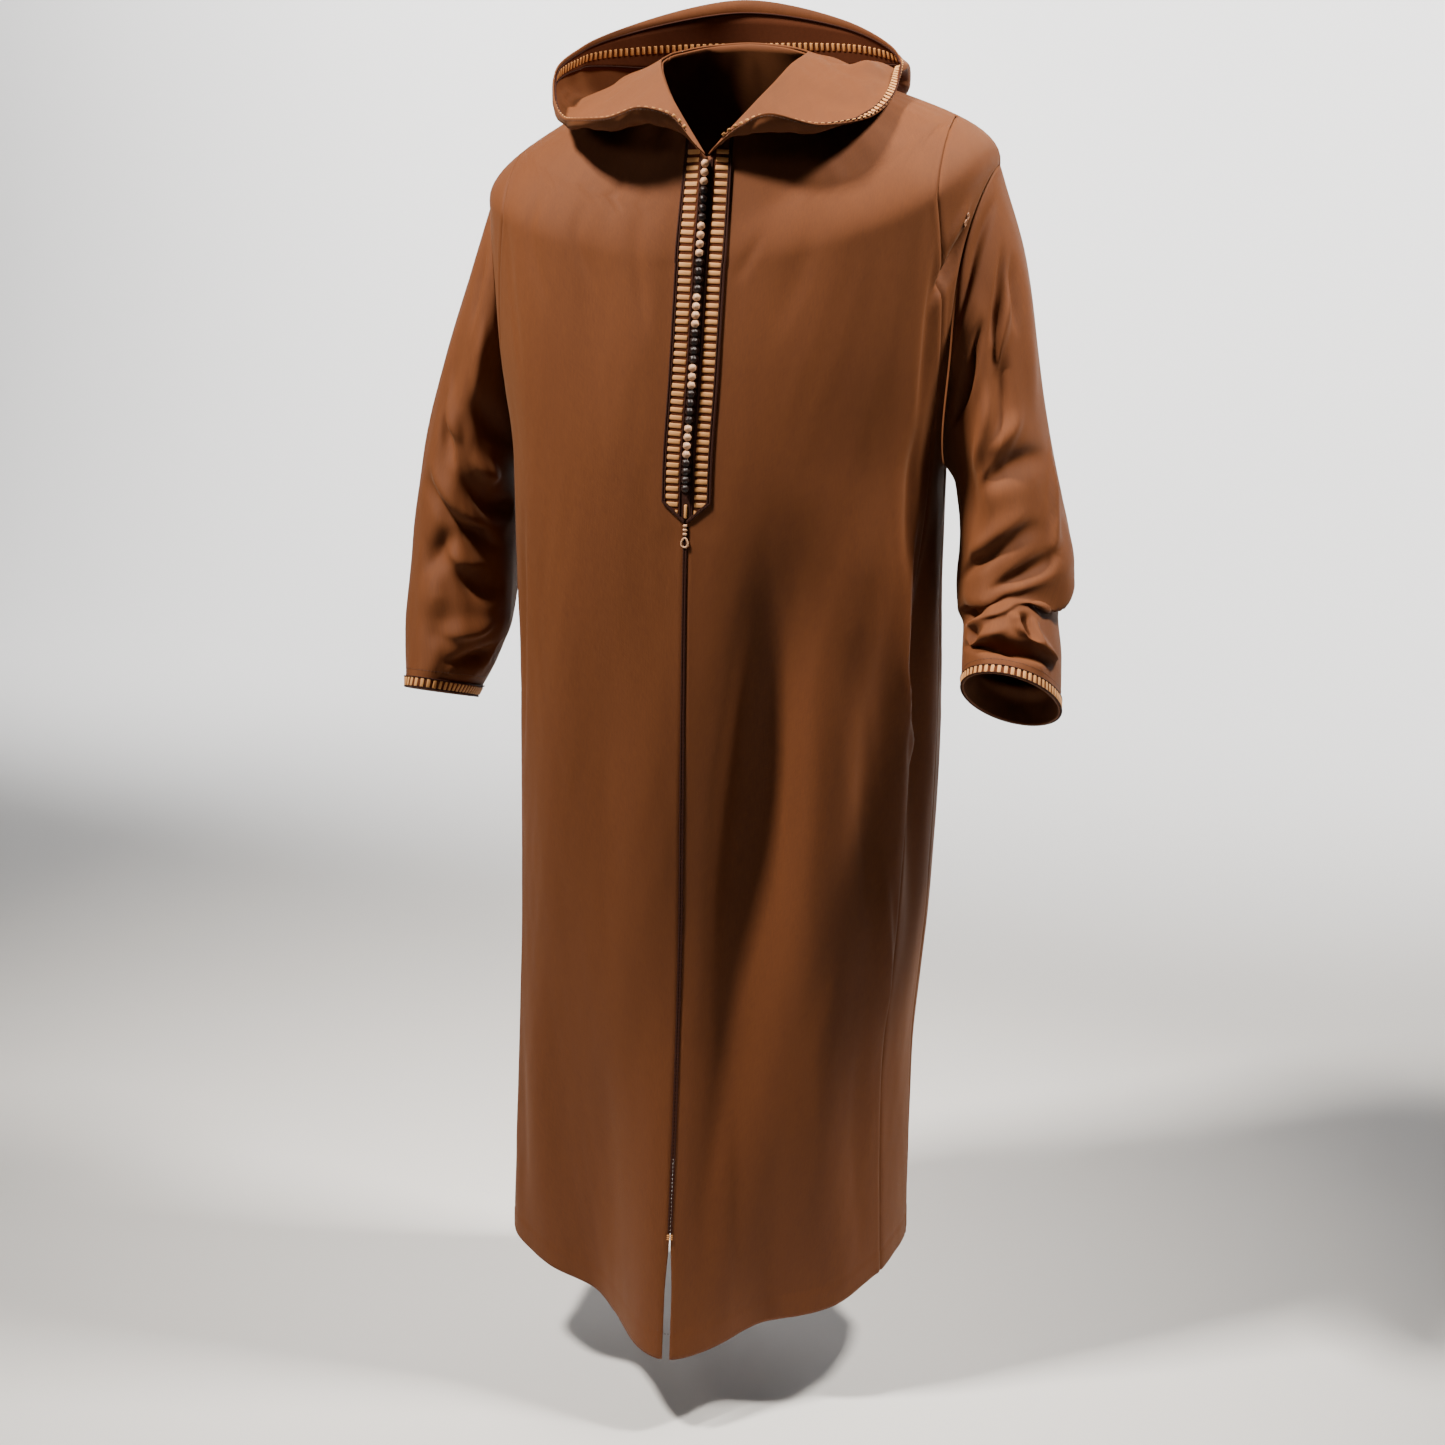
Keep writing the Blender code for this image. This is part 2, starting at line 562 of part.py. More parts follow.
def build_body(cloth):
    """The two front panels and the back."""
    for name, side in (("right", -1), ("left", 1)):
        angles, drops = front_grid(side, 10)
        add_sheet("front_" + name, body_point(angles, drops), body_normal(angles, drops), WALL, cloth)
        angles, drops = strip_grid(side, 3)
        add_sheet("side_strip_" + name, body_point(angles, drops), body_normal(angles, drops), WALL, cloth)
    angles, drops = back_grid(24)
    add_sheet("back", body_point(angles, drops), body_normal(angles, drops), WALL, cloth)


def build_sleeves(cloth, trim):
    """Both sleeves and the trim round their cuffs."""
    rows = np.concatenate([[0, 0.035, 0.08, 0.14], np.linspace(0.21, 0.91, 13), [CUFF_TRIM_START, 1.0]])
    for name, side in (("right", -1), ("left", 1)):
        def surface(turn, along, side=side):
            return sleeve_point(side, turn, along)

        turns, alongs = sleeve_grid(rows)
        normal = sleeve_normal(surface, turns, alongs, side)
        add_sheet("sleeve_" + name, surface(turns, alongs), normal, WALL, cloth, closed=True)
        turns, alongs = sleeve_grid(np.array([CUFF_TRIM_START, 1.0]))
        normal = sleeve_normal(surface, turns, alongs, side)
        face = surface(turns, alongs) + normal * (TRIM_LIFT + TRIM_WALL)
        add_sheet("cuff_trim_" + name, face, normal, TRIM_WALL, trim, closed=True)


def sleeve_normal(surface, turns, alongs, side):
    """Outward normal of a sleeve."""
    return surface_normal(surface, turns, np.clip(alongs, 0.0016, 0.9984)) * side * -1


def build_hood(cloth, trim):
    """The hood, and the striped trim inside its rim."""
    around, up = np.meshgrid(np.linspace(0, 1, 45), np.linspace(0, 1, 9))
    normal = hood_normal(around, up)
    add_sheet("hood", hood_point(around, up), normal, WALL, cloth)
    around, up = np.meshgrid(np.linspace(0, 1, 45)[1:-1], np.array([0.875, 0.99]))
    normal = hood_normal(around, up)
    face = hood_point(around, up) - normal * (WALL + TRIM_LIFT)
    add_sheet("hood_trim", face, normal, TRIM_WALL, trim)


def strip_on_front(name, columns, rows, material):
    """Trim lying on the front: columns are metres from the centre line, one set for each row."""
    angles = np.stack([seam_angle(rows, metres) for metres in columns.T], axis=1)
    drops = np.repeat(rows[:, None], columns.shape[1], axis=1)
    normal = body_normal(angles, drops)
    face = body_point(angles, drops) + normal * (TRIM_LIFT + TRIM_WALL)
    return add_sheet(name, face, normal, TRIM_WALL, material)


def build_placket(braid, trim, light, dark):
    """Striped bands, dark strip, knot buttons and the small gold bars."""
    rows = panel_rows()
    rows = rows[(rows > 0.02) & (rows < PLACKET_END)]
    upper = np.concatenate([[BAND_TOP], rows, [PLACKET_END]])
    for name, side in (("band_right", -1), ("band_left", 1)):
        part = np.array([0.0, 0.5, 1.0])
        metres = side * (BAND_INNER + (BAND_OUTER - BAND_INNER) * part)
        columns = np.repeat(metres[None, :], len(upper), axis=0)
        angles = np.stack([seam_angle(upper, column) for column in columns.T], axis=1)
        drops = np.repeat(upper[:, None], 3, axis=1)
        drops[-1] = drops[-1] - BAND_SLANT * part
        normal = body_normal(angles, drops)
        face = body_point(angles, drops) + normal * (TRIM_LIFT + TRIM_WALL)
        add_sheet(name, face, normal, TRIM_WALL, trim)
    columns = np.repeat(np.array([[-STRIP_HALF, 0.0, STRIP_HALF]]), len(upper), axis=0)
    strip_on_front("button_strip", columns, upper, braid)
    lower = panel_rows()
    lower = np.concatenate([[PLACKET_END + 0.012], lower[(lower > PLACKET_END + 0.02) & (lower < SLIT_TOP)],
                            [SLIT_TOP - 0.010]])
    columns = np.repeat(np.array([[-BRAID_HALF, 0.0, BRAID_HALF]]), len(lower), axis=0)
    strip_on_front("centre_braid", columns, lower, braid)
    bar = np.array([SLIT_TOP - 0.008, SLIT_TOP - 0.002])
    columns = np.repeat(np.array([[-0.0035, 0.0, 0.0035]]), 2, axis=0)
    strip_on_front("slit_bartack", columns, bar, light)
    build_buttons(light, dark)


def knot_shape(radius, sides=8, rings=5):
    """Points and faces of a small ball."""
    points = [(0.0, 0.0, radius)]
    for ring in range(1, rings):
        polar = math.pi * ring / rings
        for side in range(sides):
            turn = 2 * math.pi * (side + 0.5 * (ring % 2)) / sides
            points.append((radius * math.sin(polar) * math.cos(turn),
                           radius * math.sin(polar) * math.sin(turn), radius * math.cos(polar)))
    points.append((0.0, 0.0, -radius))
    last = len(points) - 1
    faces = []
    for side in range(sides):
        after = (side + 1) % sides
        faces.append((0, 1 + side, 1 + after))
        faces.append((last, last - sides + after, last - sides + side))
        for ring in range(rings - 2):
            a = 1 + ring * sides + side
            b = 1 + ring * sides + after
            faces.append((a, a + sides, b + sides, b))
    return np.array(points), split_quads(faces)


def build_buttons(light, dark):
    """The column of knot buttons, in groups of light and dark."""
    points, faces = knot_shape(BUTTON_RADIUS)
    number = 0
    for group, count in enumerate(BUTTON_GROUPS):
        for _ in range(count):
            drop = np.array(BUTTON_FIRST + BUTTON_PITCH * number)
            angle = seam_angle(drop, 0.0)
            lift = TRIM_LIFT + TRIM_WALL + 0.0005 + BUTTON_RADIUS
            centre = body_point(angle, drop) + body_normal(angle, drop) * lift
            number += 1
            add_object("button_%02d" % number, points + centre, faces, light if group % 2 == 0 else dark)
    assert number == BUTTON_COUNT


def main():
    """Clear the scene and build every piece."""
    for item in list(bpy.data.objects):
        bpy.data.objects.remove(item, do_unlink=True)
    made = {name: make_material(name) for name in MATERIALS}
    cloth, braid, trim = made["Robe cloth"], made["Dark braid"], made["Gold stripe trim"]
    build_body(cloth)
    build_sleeves(cloth, trim)
    build_hood(cloth, trim)
    build_placket(braid, trim, made["Light knot"], made["Dark knot"])


if __name__ == "__main__":
    main()
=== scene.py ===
"""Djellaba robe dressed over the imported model: finer cloth with its creases, trims, knots and stitching.

Metres, +Z up. The front faces -Y and the wearer's left is +X. Angles round the body start at the
centre front and grow towards +X, and drops are measured below the bottom of the V neck.
"""

import math
from functools import partial

import bmesh
import bpy
import numpy as np
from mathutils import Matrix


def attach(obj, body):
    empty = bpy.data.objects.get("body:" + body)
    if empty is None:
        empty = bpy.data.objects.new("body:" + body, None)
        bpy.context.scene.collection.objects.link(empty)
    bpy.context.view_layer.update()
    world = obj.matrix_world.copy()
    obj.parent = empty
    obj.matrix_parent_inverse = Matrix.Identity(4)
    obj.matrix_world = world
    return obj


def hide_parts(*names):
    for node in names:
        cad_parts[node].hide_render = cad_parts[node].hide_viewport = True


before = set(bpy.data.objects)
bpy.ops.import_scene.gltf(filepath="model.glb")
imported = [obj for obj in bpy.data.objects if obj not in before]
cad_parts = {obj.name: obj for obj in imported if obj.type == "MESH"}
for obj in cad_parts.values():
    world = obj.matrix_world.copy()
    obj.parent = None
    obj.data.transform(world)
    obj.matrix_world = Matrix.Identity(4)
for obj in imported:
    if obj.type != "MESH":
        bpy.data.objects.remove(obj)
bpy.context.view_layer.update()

bl_info = {
    "name": "Djellaba robe",
    "version": (1, 0, 0),
    "blender": (4, 5, 0),
    "location": "View3D > Sidebar > Robe",
    "description": "Builds the worn robe with its cloth, trims, knots and stitching",
    "category": "Add Mesh",
}

# ---------------------------------------------------------------- the robe's form, as in the solids

# Thicknesses and gaps, and how far normals are taken from the ends of a surface (metres of drop on
# the body, shares on sleeves and hood).
TRIM_WALL = 0.0013
TRIM_LIFT = 0.0005
RIBBON_THICKNESS = 0.0008
RIBBON_LIFT = TRIM_LIFT + RIBBON_THICKNESS
SEAM_GAP = 0.00034
SEAM_LAP = 0.00020
EDGE_CLEAR = 0.0016
HOOD_CLEAR = 0.002

# The neck: its centre, and how far the body's neckline lies inside and below the hood's seam. Then
# the drops where the parts of the robe start or end.
NECK_CENTRE = np.array([0.008, -0.010, 0.0])
NECK_INSET = 0.0010
NECK_DROP = 0.0014
SHOULDER = 0.110
ARMPIT = 0.332
PLACKET_END = 0.379
SLIT_TOP = 1.207
HEM = 1.345
HEM_STITCH = HEM - 0.030

# Levels of the body: drop, side edges and centre front in x, side seam, front and back in y, the four
# heights, and how far the section leans to a rectangle.
LEVEL_NAMES = ("drop", "x_left", "x_right", "x_seam", "y_side", "y_front", "y_back",
               "z_front", "z_left", "z_right", "z_back", "square")
LEVELS = (
    (SHOULDER, -0.277, 0.301, 0.016, 0.040, -0.150, 0.138, -0.198, -0.137, -0.100, -0.130, 0.10),
    (0.222, -0.262, 0.280, 0.012, 0.026, -0.162, 0.150, -0.310, -0.290, -0.275, -0.290, 0.12),
    (ARMPIT, -0.242, 0.254, 0.006, 0.012, -0.169, 0.148, -0.420, -0.425, -0.425, -0.420, 0.14),
    (0.600, -0.238, 0.254, 0.002, 0.000, -0.176, 0.146, -0.688, -0.688, -0.688, -0.688, 0.14),
    (0.840, -0.239, 0.248, -0.001, 0.000, -0.182, 0.156, -0.928, -0.920, -0.920, -0.926, 0.12),
    (1.070, -0.243, 0.231, -0.003, 0.004, -0.188, 0.168, -1.156, -1.132, -1.132, -1.142, 0.10),
    (HEM, -0.250, 0.228, -0.004, 0.010, -0.195, 0.180, -1.434, -1.366, -1.372, -1.396, 0.08),
)

# Broad folds of the body: angle at top and bottom, drops where it starts, is fullest and ends, half
# width in radians, height.
BODY_FOLDS = (
    (0.02, 0.04, 0.80, 1.50, 1.90, 0.20, 0.062),
    (0.46, 0.20, 0.34, 0.68, 1.08, 0.17, -0.026),
    (0.50, 0.44, 1.06, 1.50, 1.90, 0.20, -0.034),
    (0.92, 0.98, 0.42, 0.66, 1.00, 0.16, -0.014),
    (1.08, 1.06, 0.34, 0.58, 1.10, 0.09, 0.010),
    (1.32, 1.30, 0.32, 0.56, 1.00, 0.11, -0.024),
    (-0.42, -0.40, 0.02, 0.16, 0.34, 0.10, -0.005),
    (-0.60, -0.48, 0.72, 1.50, 1.90, 0.26, -0.040),
    (-1.16, -1.12, 0.70, 1.40, 1.90, 0.16, 0.012),
    (2.02, 2.10, 0.40, 1.10, 1.80, 0.20, -0.016),
    (2.62, 2.58, 0.22, 1.20, 1.80, 0.22, 0.020),
    (3.05, 3.00, 0.30, 1.00, 1.80, 0.18, -0.022),
    (-2.55, -2.66, 0.26, 1.15, 1.80, 0.22, 0.020),
    (-2.00, -2.10, 0.44, 1.05, 1.80, 0.18, -0.018),
)

# Seam between front panel and side strip: drop and angle round the body.
STRIP_START = 0.0005
STRIP_SEAM_NAMES = ("drop", "angle")
STRIP_SEAM = (
    (SHOULDER, 0.95),
    (0.155, 1.03),
    (0.222, 1.13),
    (ARMPIT, 1.30),
    (0.600, 1.22),
    (0.930, 1.13),
    (HEM, 1.19),
)

# Sections of the hood: angle where it meets the neckline, points at neck seam, middle and rim.
HOOD_NAMES = ("angle", "seam", "belly", "rim")
HOOD_SECTIONS = (
    (-0.012, (0.0150, -0.1295, -0.0870), (0.0120, -0.1340, -0.0830), (0.0080, -0.1375, -0.0770)),
    (-0.075, (-0.004, -0.118, -0.062), (-0.014, -0.139, -0.062), (-0.020, -0.152, -0.044)),
    (-0.22, (-0.026, -0.100, -0.034), (-0.042, -0.142, -0.056), (-0.048, -0.162, -0.038)),
    (-0.50, (-0.045, -0.068, -0.013), (-0.080, -0.130, -0.060), (-0.088, -0.157, -0.049)),
    (-0.95, (-0.062, -0.025, 0.004), (-0.126, -0.090, -0.056), (-0.140, -0.120, -0.050)),
    (-1.32, (-0.070, 0.010, 0.012), (-0.156, -0.036, -0.042), (-0.173, -0.066, -0.027)),
    (-1.75, (-0.070, 0.040, 0.017), (-0.174, 0.026, -0.030), (-0.190, 0.002, 0.006)),
    (-2.20, (-0.058, 0.065, 0.022), (-0.170, 0.090, -0.034), (-0.180, 0.062, 0.028)),
    (-2.65, (-0.035, 0.080, 0.027), (-0.110, 0.158, -0.080), (-0.135, 0.126, 0.054)),
    (-3.14159, (0.006, 0.086, 0.030), (0.004, 0.214, -0.150), (-0.020, 0.170, 0.080)),
    (-3.63, (0.045, 0.080, 0.027), (0.122, 0.166, -0.076), (0.104, 0.146, 0.056)),
    (-4.08, (0.072, 0.065, 0.022), (0.176, 0.100, -0.022), (0.172, 0.104, 0.022)),
    (-4.53, (0.086, 0.040, 0.018), (0.152, 0.038, 0.004), (0.190, 0.046, 0.002)),
    (-4.96, (0.088, 0.010, 0.014), (0.152, -0.014, -0.010), (0.195, -0.018, -0.026)),
    (-5.33, (0.084, -0.025, 0.006), (0.142, -0.066, -0.036), (0.180, -0.082, -0.050)),
    (-5.78, (0.075, -0.066, -0.013), (0.114, -0.108, -0.060), (0.140, -0.128, -0.056)),
    (-6.063, (0.062, -0.098, -0.034), (0.078, -0.132, -0.064), (0.090, -0.148, -0.044)),
    (-6.208, (0.040, -0.118, -0.062), (0.048, -0.134, -0.068), (0.056, -0.144, -0.058)),
    (-6.271, (0.0205, -0.1295, -0.0870), (0.0235, -0.1335, -0.0840), (0.0275, -0.1365, -0.0790)),
)

# Sections of a sleeve: share along it, outer and inner edge, half depth, tilt of its front edge.
SLEEVE_NAMES = ("along", "outer", "inner", "depth", "tilt")
SLEEVE_LEFT = (
    (0.00, (0.3010, 0.040, -0.100), (0.2540, 0.012, -0.425), 0.055, 0.00),
    (0.14, (0.330, 0.041, -0.190), (0.268, 0.010, -0.446), 0.080, 0.00),
    (0.30, (0.349, 0.034, -0.300), (0.273, 0.006, -0.476), 0.092, 0.02),
    (0.46, (0.369, 0.026, -0.405), (0.275, 0.002, -0.512), 0.096, 0.06),
    (0.60, (0.390, 0.020, -0.490), (0.275, -0.006, -0.548), 0.098, 0.12),
    (0.70, (0.401, 0.014, -0.548), (0.279, -0.026, -0.580), 0.094, 0.22),
    (0.76, (0.388, -0.010, -0.572), (0.288, -0.044, -0.594), 0.080, 0.36),
    (0.86, (0.397, -0.050, -0.620), (0.292, -0.070, -0.618), 0.080, 0.50),
    (1.00, (0.402, -0.084, -0.672), (0.298, -0.100, -0.656), 0.082, 0.58),
)
SLEEVE_RIGHT = (
    (0.00, (-0.2770, 0.040, -0.137), (-0.2460, 0.012, -0.425), 0.055, 0.00),
    (0.14, (-0.303, 0.042, -0.212), (-0.255, 0.010, -0.446), 0.078, 0.00),
    (0.30, (-0.336, 0.034, -0.316), (-0.253, 0.004, -0.480), 0.090, 0.00),
    (0.48, (-0.361, 0.022, -0.430), (-0.252, -0.002, -0.525), 0.094, 0.04),
    (0.66, (-0.372, 0.004, -0.535), (-0.252, -0.016, -0.575), 0.092, 0.10),
    (0.80, (-0.370, -0.030, -0.610), (-0.250, -0.042, -0.622), 0.086, 0.18),
    (0.90, (-0.362, -0.056, -0.658), (-0.262, -0.064, -0.662), 0.080, 0.24),
    (1.00, (-0.352, -0.078, -0.700), (-0.284, -0.082, -0.702), 0.076, 0.30),
)

# Armhole: half its widest angle round the body, and how far its widest place lies above the middle.
ARMHOLE_SPREAD = 0.35
ARMHOLE_LEAN = 0.45

# Trim of a cuff: shares along the sleeve of its two edges.
CUFF_TRIM = 0.972, 0.999

# Broad folds of a sleeve: angle, where along it starts, is fullest and ends, lean, half width, height.
SLEEVE_LEFT_FOLDS = (
    (1.10, 0.05, 0.22, 0.46, 0.55, 0.22, -0.012),
    (2.10, 0.10, 0.34, 0.56, -0.40, 0.24, -0.011),
    (0.55, 0.55, 0.68, 0.75, 0.90, 0.40, 0.009),
    (-1.20, 0.12, 0.40, 0.70, 0.30, 0.30, -0.012),
    (-2.20, 0.20, 0.50, 0.80, -0.20, 0.26, 0.010),
)
SLEEVE_RIGHT_FOLDS = (
    (1.25, 0.10, 0.30, 0.50, 0.60, 0.22, -0.008),
    (1.60, 0.50, 0.62, 0.76, -0.70, 0.22, -0.012),
    (2.30, 0.40, 0.54, 0.70, 0.20, 0.22, -0.008),
    (-1.20, 0.10, 0.42, 0.74, 0.30, 0.30, -0.012),
    (-2.20, 0.20, 0.54, 0.84, -0.20, 0.26, 0.009),
)

# Placket: distances from the centre line, drops, the bars' ends, the knots and the slit.
STRIP_HALF = 0.0060
BAND_INNER = 0.0067
BAND_OUTER = 0.0270
BAND_TOP = 0.004
BAND_SLANT = 0.017
BAR_START = 0.0090
BAR_END = 0.0233
BUTTON_COUNT = 38
BUTTON_FIRST = 0.0085
BUTTON_PITCH = 0.0091
BUTTON_RADIUS = 0.0040
BUTTON_GROUPS = (3, 4, 4, 4, 4, 4, 3, 4, 4, 4)
SLIT_HALF = 0.0034

# Metres per radian round the yoke, cord and stitch steps, floor level, camera in metres and degrees.
YOKE_RATE = 0.31
CORD_STEP = 0.0011
STITCH_PITCH = 0.0040
HEM_STITCH_PITCH = 0.0036
FLOOR = -1.53
CAMERA_AWAY, CAMERA_HEIGHT = 2.65, -0.03
CAMERA_TURN, CAMERA_TILT, CAMERA_LENS = 15.0, 75.05, 58.22
SIDES = (("right", -1), ("left", 1))

# Grid of each cloth sheet: columns and rows.
FRONT_GRID = 74, 300
STRIP_GRID = 22, 290
BACK_GRID = 110, 260
SLEEVE_GRID = 165, 186
HOOD_GRID = 281, 64

# ---------------------------------------------------------------- creases laid over that form

# A crease runs from one place to another on its surface. bow bends it sideways, in metres; near and
# far are its widths on its two sides, in metres; height is its height, negative for a trough.
# Body: places are (angle, drop).
BODY_CREASES = (
    (-0.245, 0.040, -0.155, 0.200, 0.002, 0.007, 0.010, -0.0024),
    (-0.41, 0.035, -0.35, 0.085, 0.001, 0.005, 0.007, -0.0022),
    (-0.53, 0.045, -0.40, 0.150, 0.003, 0.008, 0.010, -0.0022),
    (-0.76, 0.050, -0.60, 0.190, 0.003, 0.007, 0.012, -0.0024),
    (-0.92, 0.080, -0.80, 0.260, 0.004, 0.010, 0.008, -0.0020),
    (0.24, 0.080, 0.12, 0.140, 0.002, 0.006, 0.008, -0.0016),
    (0.46, 0.060, 0.30, 0.200, 0.004, 0.014, 0.018, -0.0016),
    (1.27, 0.136, 1.00, 0.194, 0.004, 0.009, 0.008, -0.0150),
    (1.22, 0.120, 1.02, 0.158, 0.003, 0.008, 0.006, 0.0050),
    (0.98, 0.130, 1.10, 0.300, 0.006, 0.012, 0.006, -0.0060),
    (1.10, 0.270, 1.08, 0.450, -0.004, 0.008, 0.014, -0.0080),
    (1.22, 0.360, 1.14, 0.680, 0.006, 0.012, 0.010, -0.0090),
    (0.88, 0.320, 0.86, 0.600, 0.004, 0.030, 0.030, 0.0060),
    (0.37, 0.300, 0.12, 1.460, 0.006, 0.058, 0.040, -0.0280),
    (0.20, 0.420, 0.06, 1.180, 0.002, 0.020, 0.024, 0.0050),
    (0.62, 0.420, 0.58, 0.960, 0.010, 0.034, 0.034, 0.0070),
    (0.80, 0.560, 0.88, 0.860, -0.006, 0.014, 0.018, -0.0056),
    (1.04, 0.520, 1.30, 0.700, 0.006, 0.006, 0.010, 0.0060),
    (1.00, 0.740, 1.15, 1.000, 0.005, 0.006, 0.011, 0.0056),
    (0.70, 0.880, 0.76, 1.330, 0.004, 0.034, 0.028, 0.0050),
    (0.26, 1.050, 0.27, 1.340, 0.002, 0.010, 0.018, 0.0040),
    (0.46, 1.060, 0.50, 1.340, 0.002, 0.020, 0.024, -0.0036),
    (0.94, 0.960, 1.02, 1.340, 0.004, 0.022, 0.016, -0.0044),
    (-0.14, 0.480, -0.22, 1.060, 0.006, 0.034, 0.040, 0.0036),
    (-0.44, 0.420, -0.38, 1.000, -0.008, 0.030, 0.040, -0.0032),
    (-0.90, 0.360, -1.02, 0.700, 0.008, 0.008, 0.016, -0.0060),
    (-1.16, 0.370, -1.24, 0.860, 0.006, 0.012, 0.012, -0.0060),
    (-0.36, 0.980, -0.30, 1.340, 0.004, 0.030, 0.024, -0.0036),
    (-0.84, 0.900, -0.86, 1.340, 0.004, 0.026, 0.034, 0.0040),
    (-1.06, 1.020, -1.04, 1.340, -0.004, 0.014, 0.018, -0.0030),
    (1.62, 0.345, 1.84, 0.640, 0.010, 0.008, 0.012, -0.0070),
    (1.76, 0.420, 1.80, 0.960, -0.010, 0.014, 0.022, 0.0050),
    (2.10, 0.350, 2.16, 0.780, 0.008, 0.014, 0.022, -0.0056),
    (2.38, 0.160, 2.30, 0.620, 0.012, 0.018, 0.026, 0.0050),
    (2.66, 0.120, 2.74, 0.480, -0.006, 0.014, 0.018, -0.0046),
    (2.90, 0.300, 2.84, 0.960, 0.010, 0.024, 0.030, 0.0046),
    (3.16, 0.180, 3.20, 0.760, 0.004, 0.020, 0.024, -0.0050),
    (-1.66, 0.345, -1.90, 0.620, -0.010, 0.012, 0.008, -0.0070),
    (-1.86, 0.480, -1.84, 1.040, 0.010, 0.022, 0.016, 0.0050),
    (-2.20, 0.340, -2.26, 0.820, -0.008, 0.022, 0.014, -0.0056),
    (-2.44, 0.150, -2.36, 0.560, -0.010, 0.026, 0.018, 0.0046),
    (-2.80, 0.140, -2.74, 0.700, 0.008, 0.016, 0.022, -0.0048),
    (-2.96, 0.420, -3.02, 1.120, 0.006, 0.030, 0.024, 0.0044),
    (2.24, 0.860, 2.30, 1.340, 0.006, 0.024, 0.032, 0.0060),
    (2.62, 0.900, 2.66, 1.340, -0.006, 0.022, 0.030, -0.0060),
    (-2.30, 0.900, -2.36, 1.340, 0.006, 0.030, 0.022, -0.0060),
    (-2.66, 0.980, -2.62, 1.340, -0.006, 0.024, 0.032, 0.0050),
)

# Left sleeve: places are (turn, along), turn 0 outside and a quarter turn at the front. The last
# number is how far the crest slumps down over the trough below it, as a share of its height.
SLEEVE_LEFT_CREASES = (
    (0.24, 0.030, 1.70, 0.034, 0.004, 0.010, 0.008, -0.0070, 0.0),
    (1.02, 0.122, 2.14, 0.066, 0.005, 0.009, 0.009, -0.0180, 0.0),
    (1.00, 0.066, 1.90, 0.020, -0.004, 0.008, 0.010, 0.0060, 0.0),
    (0.46, 0.086, 1.16, 0.160, 0.012, 0.008, 0.009, -0.0100, 0.0),
    (0.52, 0.118, 1.24, 0.215, 0.010, 0.012, 0.014, 0.0090, 0.0),
    (0.36, 0.110, 0.64, 0.250, -0.008, 0.008, 0.012, -0.0060, 0.0),
    (0.16, 0.120, 0.40, 0.400, -0.008, 0.024, 0.026, 0.0060, 0.0),
    (1.30, 0.200, 2.00, 0.310, 0.006, 0.016, 0.018, 0.0070, 0.0),
    (0.70, 0.370, 1.60, 0.310, 0.008, 0.014, 0.014, 0.0080, 0.2),
    (0.16, 0.470, 1.90, 0.360, 0.006, 0.011, 0.017, -0.0110, 0.0),
    (-0.05, 0.430, 0.78, 0.700, -0.010, 0.008, 0.014, 0.0080, 0.0),
    (0.90, 0.540, 2.30, 0.520, 0.008, 0.016, 0.014, 0.0100, 0.5),
    (0.62, 0.585, 2.70, 0.610, -0.012, 0.010, 0.013, -0.0125, 0.0),
    (0.40, 0.628, 1.90, 0.672, 0.004, 0.008, 0.010, -0.0090, 0.0),
    (1.50, 0.690, 2.60, 0.730, 0.004, 0.014, 0.010, 0.0080, 0.6),
    (0.10, 0.685, 1.44, 0.775, 0.004, 0.009, 0.006, 0.0150, 0.9),
    (1.20, 0.752, 2.10, 0.800, 0.004, 0.009, 0.006, 0.0120, 0.8),
    (1.75, 0.752, 3.00, 0.740, 0.000, 0.010, 0.009, -0.0160, 0.0),
    (1.80, 0.800, 2.60, 0.795, 0.000, 0.009, 0.008, 0.0080, 0.5),
    (0.30, 0.765, 0.95, 0.775, 0.002, 0.010, 0.008, -0.0110, 0.0),
    (1.96, 0.828, 2.55, 0.856, 0.000, 0.008, 0.008, -0.0150, 0.0),
    (1.46, 0.790, 1.20, 0.862, 0.004, 0.007, 0.006, 0.0090, 0.4),
    (1.22, 0.795, 1.04, 0.858, 0.002, 0.007, 0.008, -0.0130, 0.0),
    (1.02, 0.800, 0.94, 0.860, 0.002, 0.005, 0.006, 0.0060, 0.2),
    (1.44, 0.836, 0.24, 0.900, 0.004, 0.008, 0.005, 0.0170, 1.0),
    (2.00, 0.815, 2.55, 0.880, 0.002, 0.007, 0.006, 0.0090, 0.6),
    (2.60, 0.850, 1.36, 0.834, -0.004, 0.009, 0.006, 0.0090, 0.9),
    (0.34, 0.908, 2.90, 0.866, 0.006, 0.009, 0.008, -0.0200, 0.0),
    (-0.60, 0.700, -2.00, 0.760, 0.006, 0.012, 0.009, 0.0110, 0.6),
    (-0.50, 0.780, -2.20, 0.820, 0.006, 0.010, 0.011, -0.0110, 0.0),
    (-0.40, 0.860, -2.30, 0.870, 0.006, 0.010, 0.008, 0.0110, 0.8),
    (-0.30, 0.910, -2.60, 0.905, 0.000, 0.009, 0.009, -0.0110, 0.0),
    (-0.80, 0.120, -1.50, 0.420, 0.012, 0.016, 0.020, -0.0080, 0.0),
    (-1.50, 0.060, -1.90, 0.360, -0.010, 0.014, 0.018, 0.0070, 0.0),
    (-0.60, 0.460, -1.60, 0.560, 0.008, 0.012, 0.015, -0.0090, 0.0),
    (-1.20, 0.600, -2.40, 0.660, 0.006, 0.012, 0.014, -0.0090, 0.0),
    (2.70, 0.200, 2.90, 0.560, 0.004, 0.012, 0.014, -0.0060, 0.0),
)

